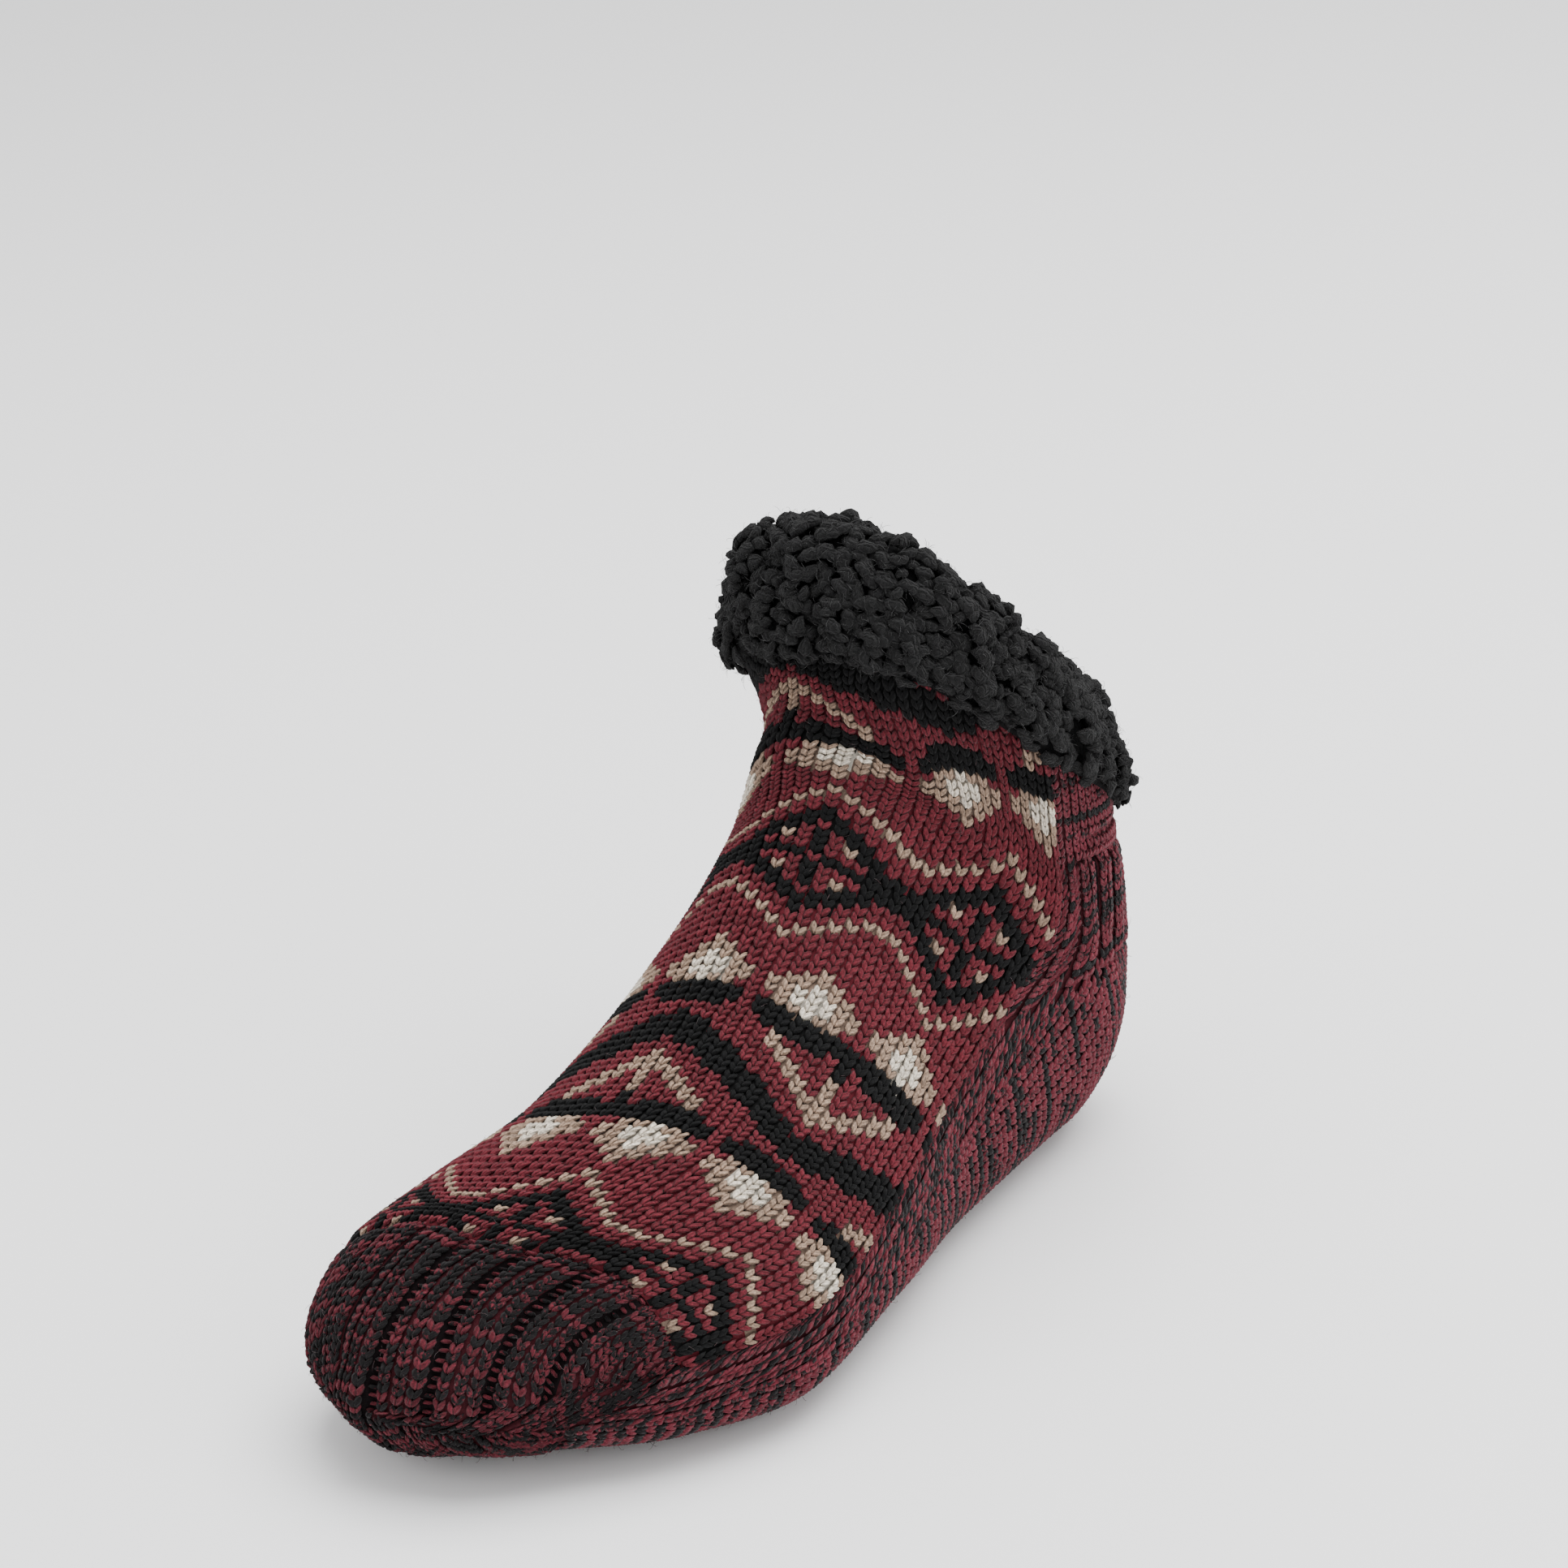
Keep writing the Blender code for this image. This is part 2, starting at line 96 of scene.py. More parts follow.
# The fan of sections from the tip of the toe to the collar, each as shares of the foot's driving sizes
COLUMNS = (
    "top_along", "instep", "front", "base_along", "spring", "arch", "cut", "back",
    "ball", "ankle", "drift", "widest", "crown", "floor",
)
SECTIONS = (
    ("tip", 0.996, 0.350, 0.000, 0.993, 0.82, 0.0, 0.0, 0.000, 0.100, 0.000, -0.110, 0.50, 2.00, 2.0),
    ("toe_front", 0.975, 0.440, 0.000, 0.965, 0.42, 0.0, 0.0, 0.000, 0.236, 0.000, -0.108, 0.47, 2.10, 2.2),
    ("toes", 0.910, 0.577, 0.000, 0.894, 0.10, 0.0, 0.0, 0.000, 0.371, 0.000, -0.082, 0.43, 2.15, 2.4),
    ("toe_root", 0.803, 0.660, 0.000, 0.792, 0.00, 0.0, -0.6, 0.000, 0.468, 0.000, 0.000, 0.41, 2.15, 2.6),
    ("ball", 0.669, 0.779, 0.000, 0.673, 0.00, 0.0, -1.0, 0.000, 0.500, 0.000, 0.070, 0.38, 2.05, 2.7),
    ("waist", 0.535, 1.000, 0.000, 0.518, 0.00, 1.0, 0.0, 0.000, 0.468, 0.000, 0.052, 0.36, 1.95, 2.7),
    ("instep", 0.430, 0.000, 0.618, 0.324, 0.00, 0.0, -1.0, 0.000, 0.000, 0.506, 0.013, 0.38, 1.95, 2.5),
    ("heel_floor", 0.374, 0.000, 0.741, 0.106, 0.00, 0.0, -0.4, 0.000, 0.000, 0.486, 0.000, 0.42, 2.00, 2.3),
    ("heel_round", 0.372, 0.000, 0.756, 0.034, 0.00, 0.0, 0.0, 0.075, 0.000, 0.496, 0.002, 0.43, 2.02, 2.2),
    ("heel_back", 0.370, 0.000, 0.770, -0.004, 0.00, 0.0, 0.0, 0.243, 0.000, 0.503, 0.004, 0.45, 2.05, 2.1),
    ("heel_top", 0.369, 0.000, 0.797, 0.000, 0.00, 0.0, 0.0, 0.471, 0.000, 0.518, 0.004, 0.48, 2.10, 2.1),
    ("cuff_line", 0.368, 0.000, 0.821, 0.018, 0.00, 0.0, 0.0, 0.714, 0.000, 0.540, 0.000, 0.50, 2.10, 2.1),
    ("collar", 0.330, 0.000, 1.000, 0.090, 0.00, 0.0, 0.0, 1.000, 0.000, 0.472, 0.000, 0.50, 2.10, 2.1),
)

# Soft troughs and ridges of the knit: name, angle and row of the middle, reach in degrees and in rows, depth
CREASES = (
    ("under_cuff_front", 180.0, 9.4, 62.0, 1.60, 0.0014),
    ("ankle_roll", 176.0, 6.75, 58.0, 0.30, -0.0012),
    ("ankle_bend", 180.0, 6.25, 44.0, 0.22, 0.0011),
    ("outer_ankle", 126.0, 7.1, 17.0, 0.60, 0.0012),
    ("inner_ankle", -124.0, 6.9, 19.0, 0.55, 0.0014),
    ("outer_waist", 104.0, 5.1, 22.0, 0.45, 0.0011),
    ("inner_waist", -100.0, 5.0, 26.0, 0.50, 0.0016),
    ("toe_root_fold", 150.0, 3.15, 26.0, 0.22, 0.0007),
    ("heel_side", 66.0, 8.9, 26.0, 0.30, 0.0012),
    ("heel_side_inner", -66.0, 8.8, 26.0, 0.30, 0.0012),
    ("achilles", 0.0, 10.6, 46.0, 0.55, 0.0012),
    ("under_toe_outer", 40.0, 1.9, 26.0, 1.60, 0.0030),
    ("under_toe_inner", -44.0, 1.9, 26.0, 1.60, 0.0024),
)

# How far along the foot the pattern's courses run: name, course, and the section number that it crosses
# at each share of the way from the outer side seam over the ridge to the inner one
COURSE_SHARES = (0.0, 0.125, 0.25, 0.375, 0.5, 0.65, 0.8, 1.0)
COURSE_LINES = (
    ("toe_zigzag", -11.0, 3.50, 3.37, 3.23, 3.07, 2.90, 2.72, 2.68, 2.70),
    ("lower_diamonds", -1.9, 4.12, 4.00, 3.87, 3.75, 3.61, 3.46, 3.45, 3.55),
    ("arrows", 11.5, 4.86, 4.70, 4.54, 4.46, 4.40, 4.32, 4.35, 4.55),
    ("middle_diamonds", 22.9, 5.72, 5.52, 5.28, 5.09, 5.01, 4.93, 5.00, 5.35),
    ("lozenges", 37.0, 6.95, 6.58, 6.33, 6.06, 5.90, 5.78, 6.00, 6.80),
    ("upper_zigzag", 46.0, 9.05, 8.42, 7.50, 6.72, 6.42, 6.22, 6.90, 8.60),
    ("upper_diamonds", 51.1, 9.95, 9.60, 8.96, 7.26, 6.64, 6.44, 8.00, 9.70),
    ("upper_scallops", 55.0, 10.45, 10.31, 9.85, 8.35, 7.10, 6.85, 9.00, 10.25),
)
TOE_COURSE = -19.0

# How far the cuff's two edges stand above the collar's, in sections, at angles round it
CUFF_ANGLES = (0.0, 60.0, 98.0, 118.0, 140.0, 165.0, 190.0, 215.0, 262.0, 360.0)
CUFF_LOWER_LIFT = (0.00, 0.00, 0.06, 0.20, 0.30, 0.29, 0.18, 0.10, 0.05, 0.00)
CUFF_UPPER_LIFT = (0.00, 0.00, -0.01, 0.01, 0.07, 0.08, 0.03, 0.00, 0.00, 0.00)
CUFF_COURSES = (58.0, 58.5, 59.9, 62.6, 65.0, 64.6, 61.4, 58.5)


def unit(vectors: Array) -> Array:
    """Give vectors a length of one."""
    return vectors / np.maximum(np.linalg.norm(vectors, axis=-1, keepdims=True), 1e-12)


def smooth(share: Array) -> Array:
    """Ease shares from 0 to 1."""
    share = np.clip(share, 0.0, 1.0)
    return share * share * (3.0 - 2.0 * share)


def signed(angle: Array) -> Array:
    """Turn angles into ones of -180 to 180."""
    return (np.asarray(angle, float) + 180.0) % 360.0 - 180.0


def way_along(points: Array) -> Array:
    """Give how far along its own line each point is, for one line or a stack of them."""
    step = np.linalg.norm(np.diff(points, axis=-2), axis=-1)
    return np.concatenate([np.zeros(step.shape[:-1] + (1,)), np.cumsum(step, axis=-1)], axis=-1)


def read_table(table: Array, first: Array, second: Array) -> Array:
    """Read a table between its entries.

    Args:
        table: The values.
        first: Shares of the way along its first axis.
        second: Shares of the way along its second axis.

    Returns:
        The values there.
    """
    u = first * (table.shape[0] - 1)
    v = second * (table.shape[1] - 1)
    i = np.clip(u.astype(int), 0, table.shape[0] - 2)
    j = np.clip(v.astype(int), 0, table.shape[1] - 2)
    u = u - i
    v = v - j
    near = table[i, j] * (1.0 - u) + table[i + 1, j] * u
    far = table[i, j + 1] * (1.0 - u) + table[i + 1, j + 1] * u
    return near * (1.0 - v) + far * v


class SmoothCurve:
    """A smooth line through values at rising knots, which never overshoots them."""

    def __init__(self, knots: Array, values: Array) -> None:
        """Fit the line.

        Args:
            knots: The places, rising.
            values: The value at each place.
        """
        self.knots = np.asarray(knots, float)
        self.values = np.asarray(values, float)
        gaps = np.diff(self.knots)
        rises = np.diff(self.values) / gaps
        before = rises[:-1]
        after = rises[1:]
        steady = before * after > 0.0
        near = 2.0 * gaps[1:] + gaps[:-1]
        far = gaps[1:] + 2.0 * gaps[:-1]
        safe_before = np.where(steady, before, 1.0)
        safe_after = np.where(steady, after, 1.0)
        middle = np.where(steady, (near + far) / (near / safe_before + far / safe_after), 0.0)
        self.slopes = np.concatenate([rises[:1], middle, rises[-1:]])

    def at(self, place: Array) -> Array:
        """Read the line.

        Args:
            place: Where to read it, held within the knots.

        Returns:
            The values there.
        """
        place = np.clip(place, self.knots[0], self.knots[-1])
        index = np.clip(np.searchsorted(self.knots, place, side="right") - 1, 0, len(self.knots) - 2)
        gap = self.knots[index + 1] - self.knots[index]
        t = (place - self.knots[index]) / gap
        start = (1.0 + 2.0 * t) * (1.0 - t) ** 2
        end = t * t * (3.0 - 2.0 * t)
        leave = t * (1.0 - t) ** 2 * gap
        arrive = t * t * (t - 1.0) * gap
        return (start * self.values[index] + end * self.values[index + 1]
                + leave * self.slopes[index] + arrive * self.slopes[index + 1])


@dataclass
class FootForm:
    """The skin of the sock, from the driving sizes of the foot."""

    length: float = 0.284
    ball_width: float = 0.116
    ankle_width: float = 0.090
    instep_height: float = 0.104
    front_height: float = 0.212
    back_height: float = 0.138
    toe_spring: float = 0.023
    arch_lift: float = 0.002
    flat_cut: float = 0.0018
    toe_ridge: float = 2.35
    toe_outer: float = 2.90
    toe_inner: float = 2.10
    toe_under: float = 2.00
    toe_bend: float = 55.0
    tip_dome: float = 0.0030
    seam_radius: float = 0.048
    row_length: float = 0.030
    seam_groove: float = 0.0014
    seam_groove_width: float = 0.0017
    seam_start: float = 1.9
    seam_fade: float = 0.3
    toe_groove: float = 0.0010
    band_groove: float = 0.0012
    band_rows: float = 0.27
    gore_groove: float = 0.0007
    cross_groove_width: float = 0.0020
    heel_start: float = 6.0
    shift: Array = field(default_factory=lambda: np.zeros(3))

    def __post_init__(self) -> None:
        """Turn the table's shares into lengths, with one smooth curve for each column."""
        share = {}
        for column, name in enumerate(COLUMNS, start=1):
            share[name] = np.array([row[column] for row in SECTIONS])
        lengths = {
            "top_y": -share["top_along"] * self.length,
            "top_z": share["instep"] * self.instep_height + share["front"] * self.front_height,
            "base_y": -share["base_along"] * self.length,
            "base_z": (share["spring"] * self.toe_spring + share["arch"] * self.arch_lift
                       + share["cut"] * self.flat_cut + share["back"] * self.back_height),
            "half_width": share["ball"] * self.ball_width + share["ankle"] * self.ankle_width,
            "drift": share["drift"] * self.ball_width,
            "widest": share["widest"],
            "crown": share["crown"],
            "floor": share["floor"],
        }
        top_step = np.hypot(np.diff(lengths["top_y"]), np.diff(lengths["top_z"]))
        base_step = np.hypot(np.diff(lengths["base_y"]), np.diff(lengths["base_z"]))
        self.rows = np.arange(len(SECTIONS), dtype=float)
        self.knots = np.concatenate([[0.0], np.cumsum(0.5 * (top_step + base_step))])
        self.curves = {name: SmoothCurve(self.knots, values) for name, values in lengths.items()}
        angles = np.linspace(-SEAM_ANGLE, SEAM_ANGLE, 99)
        self.gore_line = (angles, self.row_at(Line.GORE, angles))
        self.band_line = (angles, self.row_at(Line.BAND, angles))

    def base(self, angle: Array, row: Array) -> Array:
        """Give points of the smooth skin, in the form's own place.

        Args:
            angle: Angles round the section from its base.
            row: Section numbers.

        Returns:
            An array of points.
        """
        place = np.interp(row, self.rows, self.knots)
        beyond = np.maximum(row - self.rows[-1], 0.0) * (self.knots[-1] - self.knots[-2])
        get = {name: curve.at(place) + beyond * curve.slopes[-1] for name, curve in self.curves.items()}
        turn = np.radians(angle)
        cosine = np.cos(turn)
        sine = np.sin(turn)
        low = cosine > 0.0
        power = np.where(low, get["floor"], get["crown"])
        across = np.sign(sine) * np.abs(sine) ** (2.0 / power)
        upright = np.abs(cosine) ** (2.0 / power)
        widest = get["widest"]
        share = np.where(low, widest * (1.0 - upright), widest + (1.0 - widest) * upright)
        x = get["drift"] + get["half_width"] * across
        y = get["base_y"] + (get["top_y"] - get["base_y"]) * share
        z = get["base_z"] + (get["top_z"] - get["base_z"]) * share
        return np.stack([x, y, z], axis=-1)

    def inward(self, angle: Array, row: Array) -> Array:
        """Give the skin's directions into the sock."""
        turn_step = 1.5
        row_step = 0.04
        around = self.base(angle + turn_step, row) - self.base(angle - turn_step, row)
        along = self.base(angle, row + row_step) - self.base(angle, np.maximum(row - row_step, 0.0))
        return unit(np.cross(around, along))

    def plain_point(self, angle: Array, row: Array, depth: Array) -> Array:
        """Give points a depth inside the skin, with the tip closed by a low dome at rows under 0.

        Args:
            angle: Angles round the section.
            row: Section numbers, down to -1 at the middle of the tip.
            depth: Depths inside the skin, negative outside it.

        Returns:
            An array of points, none under the floor.
        """
        angle, row, depth = np.broadcast_arrays(
            np.asarray(angle, float), np.asarray(row, float), np.asarray(depth, float))
        held = np.maximum(row, 0.0)
        points = self.base(angle, held) + self.inward(angle, held) * depth[..., None]
        points[..., 2] = np.maximum(points[..., 2], np.maximum(depth, 0.0))
        share = np.clip(1.0 + row, 0.0, 1.0)[..., None]
        ring = self.base(np.arange(0.0, 360.0, 10.0), np.zeros(36))
        pole = ring.mean(axis=0)
        pole[1] = ring[:, 1].min()
        dome = np.zeros_like(points)
        dome[..., 1] = depth - self.tip_dome
        closed = pole + (points - pole) * share + dome * (1.0 - share ** 2)
        points = np.where(row[..., None] < 0.0, closed, points)
        return points + self.shift

    def relief(self, angle: Array, row: Array) -> Array:
        """Give how far the creases and the grooves of the seams sink the skin."""
        angle = signed(angle)
        row = np.asarray(row, float)
        sunk = np.zeros(np.broadcast(angle, row).shape)
        for _, middle, middle_row, reach, reach_rows, depth in CREASES:
            turn = signed(angle - middle) / reach
            sunk = sunk + depth * np.exp(-turn ** 2 - ((row - middle_row) / reach_rows) ** 2)
        beside = np.radians(np.abs(angle) - SEAM_ANGLE) * self.seam_radius / self.seam_groove_width
        seam = smooth((row - self.seam_start) / self.seam_fade)
        sunk = sunk + self.seam_groove * np.exp(-beside ** 2) * seam
        over = smooth((np.abs(angle) - GORE_ANGLE) / (SEAM_ANGLE - GORE_ANGLE))
        grooves = (
            (self.toe_edge(angle), self.toe_groove, over),
            (np.interp(angle, *self.gore_line), self.gore_groove, 1.0 - over),
            (np.interp(angle, *self.band_line), self.band_groove, 1.0 - over),
            (np.interp(angle, *self.band_line) + self.band_rows, self.band_groove, 1.0 - over),
        )
        for line, depth, share in grooves:
            away = (row - line) * self.row_length / self.cross_groove_width
            sunk = sunk + depth * np.exp(-away ** 2) * share
        return sunk

    def point(self, angle: Array, row: Array, depth: Array) -> Array:
        """Give points a depth inside the creased skin."""
        return self.plain_point(angle, row, depth + self.relief(angle, row))

    def toe_edge(self, angle: Array) -> Array:
        """Give the section numbers of the toe cap's edge."""
        angle = signed(angle)
        side = np.where(angle > 0.0, self.toe_outer, self.toe_inner)
        upper = self.toe_ridge + (side - self.toe_ridge) * smooth((180.0 - np.abs(angle)) / self.toe_bend)
        down = np.clip((SEAM_ANGLE - np.abs(angle)) / (SEAM_ANGLE - GORE_ANGLE), 0.0, 1.0)
        return upper + (np.minimum(side, self.toe_under) - upper) * down

    def row_at(self, line: Line, angle: Array) -> Array:
        """Give the section numbers of a line across the sock.

        Args:
            line: Which line.
            angle: Angles round the sections.

        Returns:
            The section number at each angle.
        """
        if line is Line.TOE_EDGE:
            return self.toe_edge(angle)
        if line in HEEL_HEIGHTS:
            return self.heel_line(angle, *HEEL_HEIGHTS[line])
        return np.full(np.shape(angle), LEVEL_ROWS[line])

    def heel_line(self, angle: Array, side_height: float, back_height: float) -> Array:
        """Give the section numbers of a cross line on the heel.

        Args:
            angle: Angles round the sections.
            side_height: The line's height at the side seams.
            back_height: Its height at the back.

        Returns:
            The section number at each angle, found by halving.
        """
        angle = signed(angle)
        height = back_height + (side_height - back_height) * np.abs(angle) / SEAM_ANGLE
        low = np.full(angle.shape, self.heel_start)
        high = np.full(angle.shape, self.rows[-1])
        for _ in range(30):
            middle = 0.5 * (low + high)
            under = self.base(angle, middle)[..., 2] < height
            low = np.where(under, middle, low)
            high = np.where(under, high, middle)
        return 0.5 * (low + high)

    def settle(self) -> None:
        """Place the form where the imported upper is, which was cut from the same fan."""
        columns = 21
        steps = 30
        side_gap = 0.0004
        row_gap = 0.0003
        gap_angle = math.degrees(side_gap / self.ankle_width)
        gap_rows = 0.5 * row_gap / (self.length / len(SECTIONS))
        angle = np.linspace(SEAM_ANGLE + gap_angle, 360.0 - SEAM_ANGLE - gap_angle, columns)[:, None]
        first = self.toe_edge(angle) + gap_rows
        row = first + (self.rows[-1] - first) * np.linspace(0.0, 1.0, steps + 1)[None, :]
        angle = np.broadcast_to(angle, row.shape)
        faces = [self.plain_point(angle, row, depth) for depth in (-PATTERN_STEP, WALL - PATTERN_STEP)]
        points = np.concatenate([face.reshape(-1, 3) for face in faces])
        low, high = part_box("upper")
        middle = 0.5 * (np.array(low) + np.array(high))
        own = 0.5 * (points.min(axis=0) + points.max(axis=0))
        off = np.abs((points.max(axis=0) - points.min(axis=0)) - (np.array(high) - np.array(low))).max()
        self.shift = middle - own
        LOG.info("form settled, box differs by %.5f m", off)


class ToeHoops:
    """Hoops over the toe round an axis from side to side, so that ribs cross the tip side by side."""

    def __init__(self, form: FootForm) -> None:
        """Measure the ways from the tip to the toe cap's edge.

        Args:
            form: The skin.
        """
        angles = np.linspace(-180.0, 180.0, 181)
        shares = np.linspace(0.0, 1.0, 121)
        row = -1.0 + (form.toe_edge(angles)[:, None] + 1.0) * np.linspace(0.0, 1.0, 200)[None, :]
        length = way_along(form.plain_point(angles[:, None] + 0.0 * row, row, 0.0))
        self.table = np.stack([np.interp(shares * way[-1], way, own) for way, own in zip(length, row)])

    def place(self, turn: Array, sweep: Array) -> tuple[Array, Array]:
        """Give the angles and rows of points on the hoops.

        Args:
            turn: Which hoop, from 90 degrees at the outer side to -90 at the inner one.
            sweep: How far along it, from -90 degrees under the toe to 90 on top.

        Returns:
            The angles round the sections and the section numbers.
        """
        aside = np.sin(np.radians(turn))
        up = np.cos(np.radians(turn)) * np.sin(np.radians(sweep))
        share = np.degrees(np.arcsin(np.clip(np.hypot(aside, up), 0.0, 1.0))) / 90.0
        angle = np.degrees(np.arctan2(aside, -up))
        return angle, read_table(self.table, (angle + 180.0) / 360.0, share)


@dataclass
class KnitGrid:
    """The half-stitch grid of a knitted field: odd places are the middles of stitches."""

    angle: Array
    row: Array
    inside: Array


class Fan:
    """Equal shares of the way round every section between two angles."""

    last_row = 12.2
    low_guess = 2.0
    high_guess = 9.0
    beyond = 1.12

    def __init__(self, form: FootForm, first: float, last: float) -> None:
        """Measure the arcs.

        Args:
            form: The skin.
            first: The angle at share 0.
            last: The angle at share 1.
        """
        self.form = form
        shares = np.linspace(0.0, 1.0, 161)
        angles = np.linspace(first, last, 181)
        arcs = way_along(form.base(*np.meshgrid(angles, np.linspace(0.0, self.last_row, 245))))
        self.table = np.stack([np.interp(shares * arc[-1], arc, angles) for arc in arcs], axis=1)

    def angle(self, share: Array, row: Array) -> Array:
        """Give the angle at each share and row."""
        along = np.clip(row, 0.0, self.last_row) / self.last_row
        return read_table(self.table, np.clip(share, 0.0, 1.0), along)

    def edge(self, line: Line, shares: Array, guess: float) -> Array:
        """Give the section numbers where columns cross a line.

        Args:
            line: The line.
            shares: The columns' shares of the way across.
            guess: A section number to start from, which eight rounds make good.

        Returns:
            The section number for each share.
        """
        row = np.full(shares.shape, guess)
        for _ in range(8):
            row = self.form.row_at(line, self.angle(shares, row))
        return row

    def between(self, first: Line, last: Line, shares: Array, steps: Array) -> tuple[Array, Array]:
        """Give points from one line to another.

        Args:
            first: The line at step 0.
            last: The line at step 1.
            shares: The columns' shares of the way across.
            steps: The steps along each column.

        Returns:
            The angles and the section numbers, columns by steps.
        """
        start = self.edge(first, shares, self.low_guess)
        end = self.edge(last, shares, self.high_guess)
        row = start[:, None] + (end - start)[:, None] * steps[None, :]
        return self.angle(shares[:, None] + 0.0 * row, row), row

    def even_grid(self, columns: int, pitch: float, first: Line, last: Line) -> KnitGrid:
        """Lay courses an even pitch apart along every column of a field.

        Args:
            columns: How many stitches go across.
            pitch: The height of a course.
            first: The line where the field starts.
            last: The line where it ends.

        Returns:
            The grid of half stitches.
        """
        shares = np.linspace(0.0, 1.0, 2 * columns + 1)
        angle, path = self.between(first, last, shares, np.linspace(0.0, self.beyond, 260))
        length = way_along(self.form.plain_point(angle, path, 0.0))
        half_courses = int(2.0 * length.max() / self.beyond / pitch) + 3
        stops = 0.5 * pitch * np.arange(half_courses)
        row = np.stack([np.interp(stops, way, own) for way, own in zip(length, path)])
        end = self.edge(last, shares, self.high_guess)
        return KnitGrid(self.angle(shares[:, None] + 0.0 * row, row), row, row < end[:, None])


class Yarn(Enum):
    """The yarns of the pattern."""

    MAROON = "maroon"
    BLACK = "black"
    TAN = "tan"
    CREAM = "cream"


@dataclass(frozen=True)
class KnitChart:
    """A chart: for each band of courses, rules on how far a stitch is from a motif's axis."""

    arrow_period: int = 24
    diamond_period: int = 8
    lozenge_period: int = 12
    zone_courses: int = 20
    band_courses: int = 21
    down_arrow_axis: int = 9
    middle_diamond_axis: int = 5
    lower_diamond_axis: int = 1
    lozenge_axis: int = 5
    diamond_widths: tuple[tuple[int, int], ...] = ((2, 0), (3, 1), (3, 1), (2, 0), (1, -1), (0, -1))
    scallops: tuple[int, ...] = (3, 3, 2)
    zigzag_start: float = 5.5
    zigzag_rise: float = 8.0
    zigzag_half: float = 2.0
    lozenge_reach: float = 5.2
    tan_reach: int = 9
    tan_run: int = 5

    @staticmethod
    def from_axis(column: int, axis: int, period: int) -> int:
        """Give how many stitches a column is from the nearest axis."""
        across = (column - axis) % period
        return min(across, period - across)

    def yarn(self, column: int, course: int) -> Yarn:
        """Give the yarn of a stitch.

        Args:
            column: The stitch's column, from the outer seam.
            course: Its course, from the arrows' zone by the toe.

        Returns:
            The yarn.
        """
        half = len(self.diamond_widths)
        step = course % (self.zone_courses + self.band_courses + 2 * half)
        if step < self.zone_courses:
            return self.arrow_zone(column, step)
        step -= self.zone_courses
        if step < half:
            aside = self.from_axis(column, self.middle_diamond_axis, self.diamond_period)
            return self.half_diamond(aside, step)
        step -= half
        if step < self.band_courses:
            aside = self.from_axis(column, self.lozenge_axis, self.lozenge_period)
            return self.lozenge_band(aside, abs(step - self.band_courses // 2))
        aside = self.from_axis(column, self.lower_diamond_axis, self.diamond_period)
        return self.half_diamond(aside, half - 1 - (step - self.band_courses))

    def half_diamond(self, aside: int, step: int) -> Yarn:
        """Give the yarn of a half-diamond on maroon, from its half width and its core's at the course."""
        width, core = self.diamond_widths[step]
        if aside <= core:
            return Yarn.CREAM
        return Yarn.TAN if aside <= width else Yarn.MAROON

    def lozenge_band(self, aside: int, away: int) -> Yarn:
        """Give the yarn of the lozenges and of the zigzag on each side of them."""
        if away == self.tan_reach - min(aside, self.tan_run):
            return Yarn.TAN
        outline = abs(away - (self.lozenge_reach - aside)) <= 1.0 or (aside == 6 and away <= 1)
        cross = (away == 0 and 1 <= aside <= 4) or (aside == 0 and 1 <= away <= 3)
        if outline or cross:
            return Yarn.BLACK
        return Yarn.TAN if aside == 2 and away == 2 else Yarn.MAROON

    def arrow_zone(self, column: int, step: int) -> Yarn:
        """Give the yarn of the arrows, the thick zigzag between them and the scallops that bound them."""
        half_period = self.arrow_period // 2
        down = self.from_axis(column, self.down_arrow_axis, self.arrow_period)
        tip = self.zone_courses // 2 - 1
        edges = (
            (step, self.lower_diamond_axis, half_period - down),
            (self.zone_courses - 1 - step, self.middle_diamond_axis, down),
        )
        for from_edge, axis, arrow in edges:
            aside = self.from_axis(column, axis, self.diamond_period)
            scallop = from_edge < len(self.scallops) and aside <= self.scallops[from_edge]
            foot = (from_edge == 0 and arrow <= 4) or (arrow == 0 and 1 <= from_edge <= 3)
            if scallop or foot:
                return Yarn.BLACK
            head = arrow <= 5 and from_edge in (tip - arrow, tip - 1 - arrow)
            if head or (arrow == 0 and 4 <= from_edge < tip):
                return Yarn.TAN
        thick = self.zigzag_start + self.zigzag_rise * down / half_period
        return Yarn.BLACK if abs(step - thick) <= self.zigzag_half else Yarn.MAROON


@dataclass
class Seats:
    """Where copies of small templates sit: a place, three edges of its box, and which template it takes."""

    place: Array
    across: Array
    along: Array
    outward: Array
    kind: Array
    yarn: Array

    def pick(self, chosen: Array) -> "Seats":
        """Give the chosen seats alone."""
        return Seats(*(getattr(self, part.name)[chosen] for part in fields(self)))


def show(thing: Object) -> Object:
    """Put an object in the scene."""
    bpy.context.scene.collection.objects.link(thing)
    return thing


def face_outward(mesh: bpy.types.Mesh, weld: bool = False) -> None:
    """Turn the faces of a mesh outward.

    Args:
        mesh: The mesh.
        weld: Whether points that meet are joined first.
    """
    shaped = bmesh.new()
    shaped.from_mesh(mesh)
    if weld:
        bmesh.ops.remove_doubles(shaped, verts=shaped.verts, dist=1e-6)
        bmesh.ops.dissolve_degenerate(shaped, edges=shaped.edges, dist=1e-7)
    bmesh.ops.recalc_face_normals(shaped, faces=shaped.faces)
    shaped.to_mesh(mesh)
    shaped.free()


